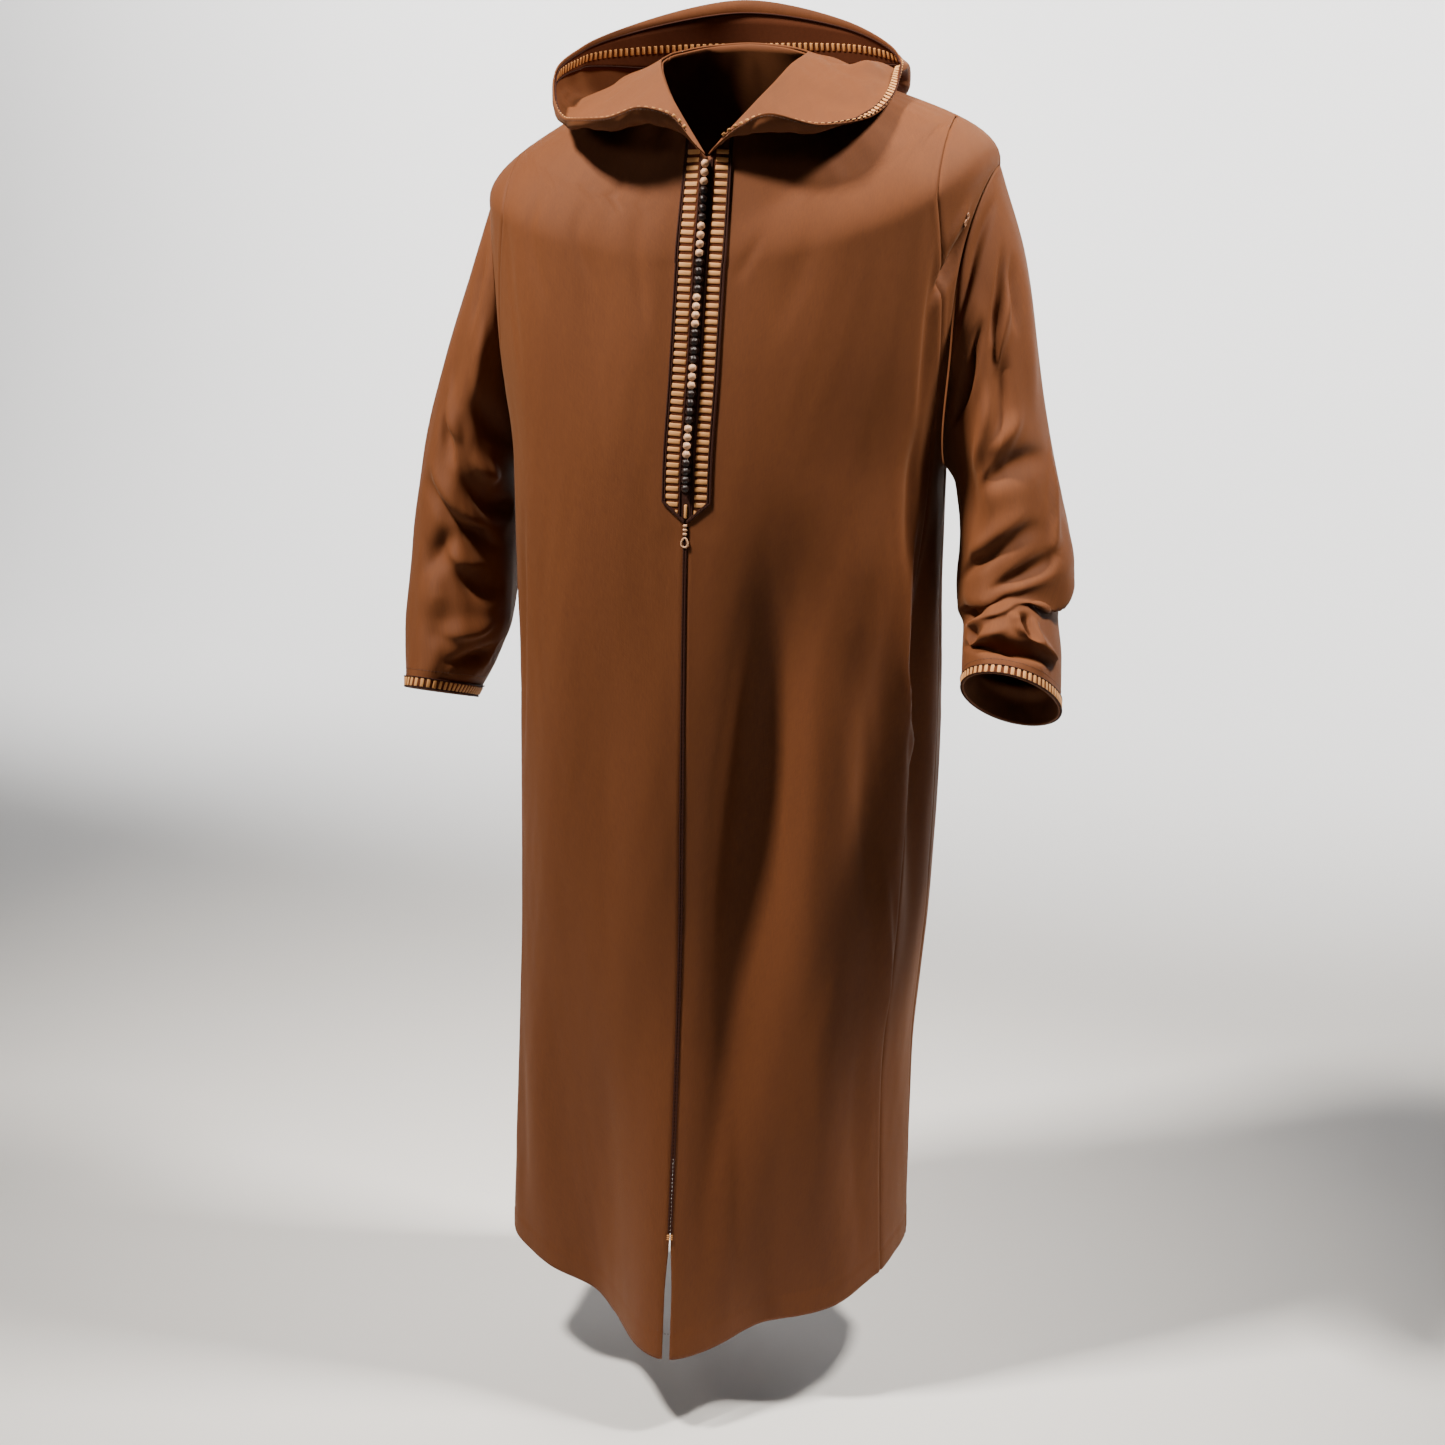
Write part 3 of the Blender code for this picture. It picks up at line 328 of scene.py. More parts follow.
SLEEVE_RIGHT_CREASES = (
    (0.66, 0.020, 1.20, 0.150, 0.004, 0.012, 0.014, -0.0060, 0.0),
    (1.20, 0.060, 1.80, 0.200, -0.006, 0.016, 0.016, 0.0060, 0.0),
    (1.56, 0.200, 2.66, 0.030, 0.004, 0.014, 0.014, -0.0110, 0.0),
    (0.95, 0.260, 1.80, 0.290, 0.008, 0.014, 0.014, 0.0090, 0.4),
    (1.90, 0.300, 2.70, 0.210, 0.004, 0.014, 0.010, 0.0100, 0.3),
    (1.05, 0.340, 1.75, 0.370, -0.002, 0.012, 0.014, -0.0060, 0.0),
    (1.70, 0.376, 3.50, 0.330, 0.004, 0.013, 0.013, -0.0140, 0.0),
    (1.00, 0.440, 2.60, 0.462, 0.006, 0.015, 0.011, 0.0100, 0.6),
    (0.80, 0.496, 2.96, 0.545, -0.008, 0.011, 0.014, -0.0120, 0.0),
    (1.60, 0.600, 2.60, 0.616, 0.004, 0.014, 0.010, 0.0080, 0.5),
    (1.80, 0.655, 3.00, 0.700, 0.002, 0.014, 0.016, -0.0090, 0.0),
    (1.10, 0.620, 1.70, 0.860, -0.010, 0.018, 0.020, 0.0060, 0.0),
    (1.70, 0.740, 2.00, 0.900, 0.006, 0.014, 0.014, -0.0060, 0.0),
    (1.60, 0.840, 2.90, 0.800, 0.004, 0.012, 0.010, 0.0080, 0.6),
    (1.90, 0.922, 3.90, 0.850, 0.004, 0.011, 0.012, -0.0130, 0.0),
    (-0.80, 0.140, -1.40, 0.440, 0.012, 0.016, 0.020, -0.0080, 0.0),
    (-1.40, 0.080, -2.00, 0.380, -0.010, 0.014, 0.018, 0.0070, 0.0),
    (-0.70, 0.460, -1.70, 0.560, 0.008, 0.014, 0.012, -0.0090, 0.0),
    (-1.00, 0.560, -2.30, 0.600, 0.006, 0.014, 0.012, 0.0080, 0.4),
    (-1.30, 0.680, -2.50, 0.720, 0.006, 0.014, 0.012, -0.0090, 0.0),
    (-0.60, 0.800, -1.90, 0.860, 0.006, 0.014, 0.012, -0.0070, 0.0),
)

# Hood: places are (share round it from the V and back, share up it from the neck seam to the rim).
HOOD_CREASES = (
    (0.455, 0.960, 0.280, 0.610, 0.008, 0.010, 0.014, -0.0060),
    (0.455, 0.920, 0.245, 0.240, -0.008, 0.010, 0.012, 0.0070),
    (0.400, 0.500, 0.300, 0.060, 0.004, 0.010, 0.014, -0.0050),
    (0.556, 0.920, 0.760, 0.700, 0.006, 0.012, 0.009, 0.0070),
    (0.600, 0.800, 0.720, 0.460, -0.006, 0.010, 0.012, -0.0060),
    (0.640, 0.500, 0.700, 0.080, 0.004, 0.010, 0.012, 0.0050),
    (0.500, 0.980, 0.480, 0.300, 0.008, 0.012, 0.016, 0.0080),
    (0.440, 0.600, 0.430, 0.100, 0.004, 0.010, 0.012, 0.0050),
    (0.540, 0.700, 0.560, 0.120, -0.004, 0.012, 0.010, -0.0060),
    (0.180, 0.900, 0.220, 0.300, 0.004, 0.010, 0.012, -0.0034),
    (0.820, 0.900, 0.780, 0.300, 0.004, 0.010, 0.012, -0.0034),
)


def follow(knots, values, at):
    """Smooth curve through values at knots that never passes beyond them."""
    knots = np.asarray(knots, float)
    values = np.asarray(values, float)
    at = np.clip(np.asarray(at, float), knots[0], knots[-1])
    gap = np.diff(knots)
    slope = np.diff(values) / gap
    tangent = np.concatenate([slope[:1], np.zeros(len(slope) - 1), slope[-1:]])
    both = slope[:-1] * slope[1:]
    total = slope[:-1] + slope[1:]
    tangent[1:-1] = np.where(both > 0, 2 * both / np.where(total == 0, 1, total), 0)
    cell = np.clip(np.searchsorted(knots, at, side="right") - 1, 0, len(gap) - 1)
    t = (at - knots[cell]) / gap[cell]
    start = (1 + 2 * t) * (1 - t) ** 2 * values[cell] + t * (1 - t) ** 2 * gap[cell] * tangent[cell]
    end = t * t * (3 - 2 * t) * values[cell + 1] - t * t * (1 - t) * gap[cell] * tangent[cell + 1]
    return start + end


def follow_points(knots, points, at):
    """Smooth curve through points in space."""
    points = np.asarray(points, float)
    return np.stack([follow(knots, points[:, axis], at) for axis in range(3)], axis=-1)


def ease(t):
    """Smooth step from 0 to 1."""
    t = np.clip(t, 0, 1)
    return t * t * (3 - 2 * t)


def rise_and_fall(at, start, full, end):
    """Smooth hump that is 0 at start and end and 1 where it is full."""
    return np.where(at < full, ease((at - start) / (full - start)), ease((end - at) / (end - full)))


def unit(vectors):
    """Vectors scaled to length one."""
    return vectors / np.maximum(np.linalg.norm(vectors, axis=-1, keepdims=True), 1e-12)


def turned(angle):
    """Angle brought between minus half a turn and half a turn."""
    return np.mod(angle + math.pi, 2 * math.pi) - math.pi


def column(table, names, name):
    """All values of one named column of a table."""
    index = names.index(name)
    return [row[index] for row in table]


LEVEL_DROPS = np.linspace(SHOULDER, HEM, 4001)
LEVEL_VALUES = {}


def level(name, drop):
    """One column of the body levels at the given drop."""
    if name not in LEVEL_VALUES:
        drops, values = (column(LEVELS, LEVEL_NAMES, wanted) for wanted in ("drop", name))
        LEVEL_VALUES[name] = follow(drops, values, LEVEL_DROPS)
    return np.interp(drop, LEVEL_DROPS, LEVEL_VALUES[name])


def ring_point(angle, drop):
    """Point of the body section at one level, before any fold."""
    sine, cosine = np.sin(angle), np.cos(angle)
    middle = (level("x_right", drop) + level("x_left", drop)) / 2
    half = (level("x_right", drop) - level("x_left", drop)) / 2
    square = level("square", drop)
    side = level("y_side", drop)
    reach = np.where(cosine > 0, side - level("y_front", drop), level("y_back", drop) - side)
    x = middle + half * sine * (1 + square * cosine ** 2)
    y = side - reach * cosine * (1 + square * sine ** 2)
    flank = np.where(sine > 0, level("z_right", drop), level("z_left", drop))
    centre = np.where(cosine > 0, level("z_front", drop), level("z_back", drop))
    z = flank * sine ** 2 + centre * cosine ** 2
    return np.stack([x, y, z], axis=-1)


def neck_point(angle):
    """Point of the neckline seam at an angle round the body."""
    start = -HOOD_SECTIONS[0][0]
    turn = np.mod(-np.asarray(angle, float) - start, 2 * math.pi) + start
    seams = column(HOOD_SECTIONS, HOOD_NAMES, "seam")
    knots = [-value for value in column(HOOD_SECTIONS, HOOD_NAMES, "angle")]
    seam = follow_points(knots + [2 * math.pi + start], seams + seams[:1], turn)
    outward = unit((seam - NECK_CENTRE) * np.array([1.0, 1.0, 0.0]))
    return seam - outward * NECK_INSET - np.array([0.0, 0.0, NECK_DROP])


def body_smooth(angle, drop):
    """Point of the body without folds, from the neckline to the hem."""
    angle, drop = np.broadcast_arrays(np.asarray(angle, float), np.asarray(drop, float))
    low = np.maximum(drop, SHOULDER)
    below = ring_point(angle, low)
    edge = ring_point(angle, np.full_like(drop, SHOULDER))
    step = 0.01
    past_edge = ring_point(angle, np.full_like(drop, SHOULDER + step))
    leaving = (past_edge - edge) / step * SHOULDER
    neck = neck_point(angle)
    t = np.clip(drop / SHOULDER, 0, 1)[..., None]
    yoke = ((1 + 2 * t) * (1 - t) ** 2 * neck + t * (1 - t) ** 2 * (edge - neck)
            + t * t * (3 - 2 * t) * edge - t * t * (1 - t) * leaving)
    return np.where((drop < SHOULDER)[..., None], yoke, below)


def body_point(angle, drop):
    """Point of the outer face of the body, broad folds included."""
    angle, drop = np.broadcast_arrays(np.asarray(angle, float), np.asarray(drop, float))
    total = np.zeros(angle.shape)
    for angle_top, angle_end, start, full, end, spread, height in BODY_FOLDS:
        along = np.clip((drop - start) / (end - start), 0, 1)
        away = turned(angle - angle_top - (angle_end - angle_top) * along)
        total = total + height * np.exp(-(away / spread) ** 2) * rise_and_fall(drop, start, full, end)
    point = body_smooth(angle, drop)
    sides = [body_smooth(np.full_like(angle, quarter), drop) for quarter in (math.pi / 2, -math.pi / 2)]
    axis = sides[0] * 0.5 + sides[1] * 0.5
    return point + unit((point - axis) * np.array([1.0, 1.0, 0.0])) * total[..., None]


def surface_normal(surface, first, second):
    """Unit normal of a surface function of two values."""
    step = 0.0015
    across = surface(first + step, second) - surface(first - step, second)
    down = surface(first, second + step) - surface(first, second - step)
    return unit(np.cross(down, across))


def body_normal(angle, drop):
    """Outward normal of the body, kept inside its end levels."""
    return surface_normal(body_point, angle, np.clip(drop, EDGE_CLEAR, HEM - EDGE_CLEAR))


def body_rate(angle, drop):
    """Metres of cloth per radian round the body."""
    step = 0.002
    drop = np.asarray(drop, float)
    chord = body_point(angle + step, drop) - body_point(angle - step, drop)
    return np.linalg.norm(chord, axis=-1) / (2 * step)


def seam_angle(drop, metres):
    """Angle of a line that runs the given metres to the side of the centre front seam."""
    drop, metres = np.broadcast_arrays(np.asarray(drop, float), np.asarray(metres, float))
    clear = np.maximum(drop, SHOULDER)
    middle = (level("x_right", clear) + level("x_left", clear)) / 2
    half = (level("x_right", clear) - level("x_left", clear)) / 2 * (1 + level("square", clear))
    centre = (level("x_seam", clear) - middle) / half
    centre = centre * ease(0.25 + drop / SHOULDER)
    rate = np.where(drop < SHOULDER, YOKE_RATE, half)
    return centre + metres / rate


def armhole_spread(drop):
    """Half the angle of the armhole at a level, 0 above and below it."""
    part = np.clip((np.asarray(drop, float) - SHOULDER) / (ARMPIT - SHOULDER), 0, 1)
    return ARMHOLE_SPREAD * 2 * np.sqrt(part * (1 - part)) * (1 + ARMHOLE_LEAN * (1 - 2 * part))


def strip_edge_x(side):
    """Sideways position of the upright seam where the side strip starts at the shoulder."""
    return float(body_smooth(side * STRIP_SEAM[0][1], SHOULDER)[0])


def find_between(test, low, high):
    """Value between low and high where a falling test passes zero."""
    low, high = np.broadcast_arrays(np.asarray(low, float), np.asarray(high, float))
    for _ in range(40):
        middle = (low + high) / 2
        above = test(middle) > 0
        low = np.where(above, middle, low)
        high = np.where(above, high, middle)
    return (low + high) / 2


def strip_top(side):
    """Level where the upright seam crosses the shoulder line."""
    edge = strip_edge_x(side)

    def short_of_edge(drop):
        return side * (edge - body_smooth(side * math.pi / 2, drop)[..., 0])

    return float(find_between(short_of_edge, 0.02, SHOULDER))


def strip_angle(rows, side, clear):
    """Angle of the upright seam at each level, moved sideways by the clear distance."""
    edge = strip_edge_x(side) + side * clear
    yoke = find_between(lambda angle: side * (edge - body_smooth(side * angle, rows)[..., 0]),
                        np.full_like(rows, 0.5), np.full_like(rows, math.pi / 2))
    below = follow(column(STRIP_SEAM, STRIP_SEAM_NAMES, "drop"),
                   column(STRIP_SEAM, STRIP_SEAM_NAMES, "angle"), rows)
    below = below + clear / body_rate(side * below, rows)
    return side * np.where(rows < SHOULDER - 1e-9, yoke, below)


def slit_half(drop):
    """Half the gap between the front panels at the centre, open below the top of the slit."""
    return SEAM_GAP / 2 + SLIT_HALF * ease((np.asarray(drop, float) - SLIT_TOP + 0.02) / 0.09)


def side_angle(drop, side, toward_front):
    """Angle of a panel's side edge, clear of its neighbour and of the armhole."""
    half_gap = SEAM_GAP / 2 / body_rate(np.full(np.shape(drop), side * math.pi / 2), drop)
    offset = armhole_spread(drop) + half_gap
    return side * (math.pi / 2 - offset if toward_front else math.pi / 2 + offset)


def sleeve_oval(side, turn, along):
    """Oval section of a sleeve, before it is fitted to the armhole."""
    rows, folds = (SLEEVE_LEFT, SLEEVE_LEFT_FOLDS) if side > 0 else (SLEEVE_RIGHT, SLEEVE_RIGHT_FOLDS)
    knots, outer, inner, depth, tilt = (column(rows, SLEEVE_NAMES, name) for name in SLEEVE_NAMES)
    outer, inner = (follow_points(knots, values, along) for values in (outer, inner))
    depth, tilt = (follow(knots, values, along) for values in (depth, tilt))
    forward = np.stack([np.zeros_like(depth), -depth * np.cos(tilt), depth * np.sin(tilt)], axis=-1)
    swell = np.zeros(np.broadcast(turn, along).shape)
    for angle, start, full, end, lean, spread, height in folds:
        away = turned(turn - angle - lean * (along - full) / (end - start))
        swell = swell + height * np.exp(-(away / spread) ** 2) * rise_and_fall(along, start, full, end)
    middle = (outer + inner) / 2
    arm = (outer - inner) / 2 * np.cos(turn)[..., None] + forward * np.sin(turn)[..., None]
    return middle + arm + unit(arm) * swell[..., None]


def sleeve_point(side, turn, along):
    """Point of the outer face of a sleeve."""
    turn, along = np.broadcast_arrays(np.asarray(turn, float), np.asarray(along, float))
    drop = SHOULDER + (ARMPIT - SHOULDER) * (1 - np.cos(turn)) / 2
    spread = ARMHOLE_SPREAD * np.sin(turn) * (1 + ARMHOLE_LEAN * np.cos(turn))
    armhole = body_point(side * (math.pi / 2 - spread), drop)
    fit = armhole - sleeve_oval(side, turn, np.zeros_like(along))
    keep = 1 - ease(along / 0.30)
    return sleeve_oval(side, turn, along) + fit * keep[..., None] + np.array([side * 0.0009, 0.0, 0.0])


def hood_point(around, up):
    """Point of the outer face of the hood: around from the V to the V, up from neck seam to rim."""
    around, up = np.broadcast_arrays(np.asarray(around, float), np.asarray(up, float))
    knots = np.linspace(0, 1, len(HOOD_SECTIONS))
    seam, belly, rim = (follow_points(knots, column(HOOD_SECTIONS, HOOD_NAMES, name), around)
                        for name in HOOD_NAMES[1:])
    bend = 2 * belly - (seam + rim) / 2
    t = up[..., None]
    return (1 - t) ** 2 * seam + 2 * t * (1 - t) * bend + t * t * rim


# ---------------------------------------------------------------- relief of the cloth

MEASURED = {}


def measure_creases(name, creases, surface):
    """Metres per unit of each of a surface's two values, at the middle of every crease."""
    if name not in MEASURED:
        table = np.array([crease[:4] for crease in creases])
        first, second = (table[:, 0] + table[:, 2]) / 2, (table[:, 1] + table[:, 3]) / 2
        step = 0.004
        chords = (surface(first + step, second) - surface(first - step, second),
                  surface(first, second + step) - surface(first, second - step))
        MEASURED[name] = list(zip(*[np.linalg.norm(chord, axis=-1) / (2 * step) for chord in chords]))
    return MEASURED[name]


def crease_height(name, creases, surface, first, second, round_it):
    """Total height of the creases, and how far their crests slump, at places of a surface."""
    total = np.zeros(np.broadcast(first, second).shape)
    slump = np.zeros_like(total)
    for crease, (rate_1, rate_2) in zip(creases, measure_creases(name, creases, surface)):
        first_0, second_0, first_1, second_1, bow, near, far, height = crease[:8]
        middle = (first_0 + first_1) / 2
        chord = (first_1 - first_0) * rate_1, (second_1 - second_0) * rate_2
        length = math.hypot(*chord)
        away = turned(first - middle) if round_it else first - middle
        across = (away + middle - first_0) * rate_1
        along = (second - second_0) * rate_2
        t = (across * chord[0] + along * chord[1]) / length ** 2
        off = (chord[0] * along - chord[1] * across) / length - bow * 4 * t * (1 - t)
        middle_part = np.sin(math.pi * np.clip(t, 0, 1))
        width = np.where(off > 0, far, near) * (0.45 + 0.55 * middle_part)
        shape = np.exp(-(off / width) ** 2) * ease(t / 0.42) * ease((1 - t) / 0.42)
        total = total + height * shape
        if len(crease) > 8:
            slump = slump + crease[8] * abs(height) * shape
    return total, slump


def unevenness(first, second, seed, wave, stretch):
    """Low swells of hung cloth, from -1 to 1: wave is their spacing across in metres."""
    random = np.random.default_rng(seed)
    total = 0.0
    for _ in range(9):
        across = 2 * math.pi / (wave * random.uniform(0.6, 1.7)) * random.choice([-1, 1])
        along = 2 * math.pi / (wave * stretch * random.uniform(0.7, 1.6))
        phase = random.uniform(0, 6.283)
        total = total + math.sqrt(2 / 9) * np.cos(first * across + second * along + phase)
    return np.clip(total / 1.6, -1, 1)


def body_relief(angle, drop):
    """Height of the creases, hem and seams on the body."""
    strength = bpy.context.scene.robe_cloth.crease_strength
    round_by = turned(angle)
    height, _ = crease_height("body", BODY_CREASES, body_point, angle, drop, True)
    across = round_by * 0.21
    height = height + 0.0011 * unevenness(across, drop, 11, 0.090, 6.0)
    height = height + 0.00016 * unevenness(across, drop, 12, 0.026, 5.0)
    off_side = np.abs(np.abs(round_by) - math.pi / 2)
    past = np.maximum((off_side - armhole_spread(drop)) * 0.19, 0)
    beyond = np.maximum(np.maximum(SHOULDER - drop, drop - ARMPIT), 0)
    clear = ease(np.hypot(past, beyond) / 0.008) * ease(drop / 0.024)
    stiff = np.abs(angle - seam_angle(drop, 0.0)) * np.where(drop < SHOULDER, YOKE_RATE, 0.27)
    stiff = np.where(np.abs(round_by) < 1.2, stiff, 1.0)
    placket = np.clip(1 - ease((stiff - 0.026) / 0.020), 0, 1) * (1 - ease((drop - PLACKET_END) / 0.03))
    height = height * strength * clear * (1 - 0.85 * placket)
    groove = np.exp(-((drop - HEM_STITCH) / 0.0013) ** 2)
    return height - 0.0007 * groove + 0.0004 * ease((drop - HEM_STITCH - 0.001) / 0.002)


def seam_dip(distance):
    """Dip of the cloth beside a sewn seam, with a soft swell next to it."""
    dip, swell = np.exp(-(distance / 0.0016) ** 2), np.exp(-((distance - 0.0055) / 0.0030) ** 2)
    return 0.0006 * swell - 0.0011 * dip


def body_face(angle, drop):
    """Point of the creased outer face of the body."""
    return body_point(angle, drop) + body_normal(angle, drop) * body_relief(angle, drop)[..., None]


def front_face(metres, drop):
    """Point of the creased front at metres beside the centre seam."""
    return body_face(seam_angle(drop, metres), drop)


def front_normal(metres, drop):
    """Outward normal of the creased front."""
    return surface_normal(front_face, metres, np.clip(drop, EDGE_CLEAR, HEM - EDGE_CLEAR))


def sleeve_out(side, surface, turn, along):
    """Outward normal of a surface of a sleeve, kept inside its ends."""
    return surface_normal(surface, turn, np.clip(along, EDGE_CLEAR, 1 - EDGE_CLEAR)) * side * -1


def sleeve_face(side, turn, along):
    """Point of the creased outer face of a sleeve."""
    creases, seed = (SLEEVE_LEFT_CREASES, 21) if side > 0 else (SLEEVE_RIGHT_CREASES, 22)
    plain = partial(sleeve_point, side)
    strength = bpy.context.scene.robe_cloth.crease_strength
    normal = sleeve_out(side, plain, turn, along)
    height, slump = crease_height("sleeve %+d" % side, creases, plain, turn, along, True)
    height = height + 0.0007 * unevenness(turned(turn) * 0.10, along * 0.45, seed, 0.060, 2.6)
    height = height * ease((math.pi - np.abs(turned(turn))) / 0.24)
    clear = ease((along - 0.003) / 0.018) * ease((0.975 - along) / 0.030)
    lift = normal * (height * clear * strength)[..., None]
    fall = np.array([0.0, 0.0, -1.0]) * (slump * clear * strength)[..., None]
    return plain(turn, along) + lift + fall


def hood_relief(around, up):
    """Height of the creases on the hood."""
    strength = bpy.context.scene.robe_cloth.crease_strength
    height, _ = crease_height("hood", HOOD_CREASES, hood_point, around, up, False)
    height = height + 0.0010 * unevenness(around * 1.1, up * 0.17, 31, 0.05, 2.0)
    clear = ease(up / 0.16) * ease((1 - up) / 0.14)
    clear = clear * ease(around / 0.09) * ease((1 - around) / 0.09)
    return height * clear * strength


def hood_normal(around, up):
    """Normal of the hood, away from the neck."""
    inside = (np.clip(share, HOOD_CLEAR, 1 - HOOD_CLEAR) for share in (around, up))
    return surface_normal(hood_point, *inside)


def hood_face(around, up):
    """Point of the creased outer face of the hood."""
    return hood_point(around, up) + hood_normal(around, up) * hood_relief(around, up)[..., None]


# ---------------------------------------------------------------- mesh making

def lay_grid(name, points, outward, uvs, material, merge=False, capped=False):
    """Mesh object with a vertex for every point of a grid, its faces turned outwards."""
    rows, columns = points.shape[:2]
    shape = bmesh.new()
    bmesh.ops.create_grid(shape, x_segments=columns - 1, y_segments=rows - 1, size=1.0)
    mesh = bpy.data.meshes.new(name)
    shape.to_mesh(mesh)
    shape.free()
    flat = np.empty(len(mesh.vertices) * 3)
    mesh.vertices.foreach_get("co", flat)
    flat = flat.reshape(-1, 3)
    i = np.rint((flat[:, 0] + 1) / 2 * (columns - 1)).astype(int)
    j = np.rint((flat[:, 1] + 1) / 2 * (rows - 1)).astype(int)
    mesh.vertices.foreach_set("co", np.ascontiguousarray(points[j, i]).ravel())
    corners = np.empty(len(mesh.loops), int)
    mesh.loops.foreach_get("vertex_index", corners)
    layer = mesh.uv_layers.new(name="UVMap")
    layer.data.foreach_set("uv", np.ascontiguousarray(uvs[j, i][corners]).ravel())
    mesh.update()
    facing = np.empty(len(mesh.polygons) * 3)
    mesh.polygons.foreach_get("normal", facing)
    starts = np.empty(len(mesh.polygons), int)
    mesh.polygons.foreach_get("loop_start", starts)
    wanted = outward[j, i][corners[starts]]
    shape = bmesh.new()
    shape.from_mesh(mesh)
    if float(np.sum(facing.reshape(-1, 3) * wanted)) < 0:
        bmesh.ops.reverse_faces(shape, faces=shape.faces[:])
    if merge:
        bmesh.ops.remove_doubles(shape, verts=shape.verts[:], dist=1e-6)
    if capped:
        edges = [edge for edge in shape.edges if edge.is_boundary]
        bmesh.ops.holes_fill(shape, edges=edges, sides=0)
    return finish_mesh(name, shape, mesh, use_material(material))


def finish_mesh(name, shape, mesh, material):
    """Object from a bmesh, smooth shaded, in one material."""
    for face in shape.faces:
        face.smooth = True
    shape.to_mesh(mesh)
    shape.free()
    mesh.materials.clear()
    mesh.materials.append(material)
    mesh.update()
    piece = bpy.data.objects.new(name, mesh)
    bpy.context.scene.collection.objects.link(piece)
    return piece


def thicken(piece, thickness):
    """Gives a cloth sheet its thickness, inwards from its outer face."""
    wall = piece.modifiers.new("Thickness", "SOLIDIFY")
    wall.thickness = thickness
    wall.offset = -1.0
    wall.use_quality_normals = True


def walked_along(points, axis=0):
    """Metres walked along one axis of a path or grid of points, from its start."""
    steps = np.linalg.norm(np.diff(points, axis=axis), axis=-1)
    start = np.zeros_like(np.take(steps, [0], axis=axis))
    return np.concatenate([start, np.cumsum(steps, axis=axis)], axis=axis)


def walked(points):
    """Metres of cloth across and along a grid of points, from its first column and row."""
    return np.stack([walked_along(points, 1), walked_along(points, 0)], axis=-1)


def assign(piece, slot, *nodes):
    """Puts a piece on the robe in place of the named nodes; its colour slot is not used."""
    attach(piece, "root")
    if nodes:
        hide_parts(*nodes)


def cloth_piece(name, node, points, outward, plain, wrap=False, thickness=None,
                material="robe_cloth", slot="robe cloth"):
    """Cloth sheet that stands for its solid, its UVs measured in metres over the uncreased cloth."""
    piece = lay_grid(name, points, outward, walked(plain), material, merge=wrap)
    thicken(piece, thickness or bpy.context.scene.robe_cloth.thickness)
    assign(piece, slot, node)


def points_and_faces(shape):
    """Corner points and faces of a bmesh, which is freed."""
    points = np.array([vert.co[:] for vert in shape.verts])
    faces = [[vert.index for vert in face.verts] for face in shape.faces]
    shape.free()
    return points, faces


def bevelled_block(length, width, rise, rounding, segments=2):
    """Corner points and faces of a small block with rounded edges, its foot at height 0."""
    shape = bmesh.new()
    bmesh.ops.create_cube(shape, size=1.0)
    bmesh.ops.scale(shape, vec=(length, width, rise), verts=shape.verts)
    bmesh.ops.translate(shape, vec=(0, 0, rise / 2), verts=shape.verts)
    top = [edge for edge in shape.edges if max(vert.co.z for vert in edge.verts) > rise * 0.9]
    bmesh.ops.bevel(shape, geom=top, offset=rounding, segments=segments, profile=0.5,
                    affect="EDGES", material=-1)
    return points_and_faces(shape)


def repeat_block(name, block, places, material):
    """One mesh of many like blocks, their places given as centres and three axes for each."""
    points, faces = block
    centre, *axes = places
    laid = centre[:, None] + sum(axis[:, None] * value[:, None] for axis, value in zip(axes, points.T))
    shape = bmesh.new()
    layer = shape.loops.layers.uv.new("UVMap")
    for number, corners in enumerate(laid):
        verts = [shape.verts.new(point) for point in corners]
        for face in faces:
            made = shape.faces.new([verts[index] for index in face])
            for loop, index in zip(made.loops, face):
                loop[layer].uv = (points[index][0], points[index][1] + 0.013 * number)
    return finish_mesh(name, shape, bpy.data.meshes.new(name), use_material(material))


def block_places(surface, normal, first, second, lift, stretch=1.0):
    """Places of blocks on a surface, their width along its second value and their length across that."""
    step = 0.0008
    facing = normal(first, second)
    travel = unit(surface(first, second + step) - surface(first, second - step))
    across = unit(np.cross(facing, travel)) * np.broadcast_to(stretch, first.shape)[:, None]
    return surface(first, second) + facing * lift, across, travel, facing


def twisted_cord(name, path, outward, radius, pitch, material, closed=False, sides=8):
    """Two-ply cord along a path of points, resting with its belly on the surface below."""
    walk = walked_along(path)
    tangent = unit(np.gradient(path, axis=0))
    if closed:
        tangent[0] = tangent[-1] = unit(tangent[0] + tangent[-1])
        pitch = walk[-1] / max(round(walk[-1] / pitch), 1)
    across = unit(np.cross(tangent, outward))
    around = np.linspace(0, 2 * math.pi, sides + 1)
    theta, place = np.meshgrid(around, walk)
    ply = radius * (0.66 + 0.34 * np.abs(np.cos(theta - math.pi * place / pitch)))
    points = (path[:, None] + across[:, None] * (np.cos(theta) * ply)[..., None]
              + outward[:, None] * (np.sin(theta) * ply)[..., None])
    facing = unit(points - path[:, None])
    uvs = np.stack([theta * radius, place], axis=-1)
    return lay_grid(name, points, facing, uvs, material, merge=True, capped=not closed)


def evenly(values, points, spacing):
    """Values of a path's parameter at even spacing in metres along its points."""
    walk = walked_along(points)
    count = max(int(round(walk[-1] / spacing)), 2)
    return np.interp(np.linspace(0, walk[-1], count + 1), walk, values)


def between(values):
    """Middle of every value and the next."""
    return (values[1:] + values[:-1]) / 2


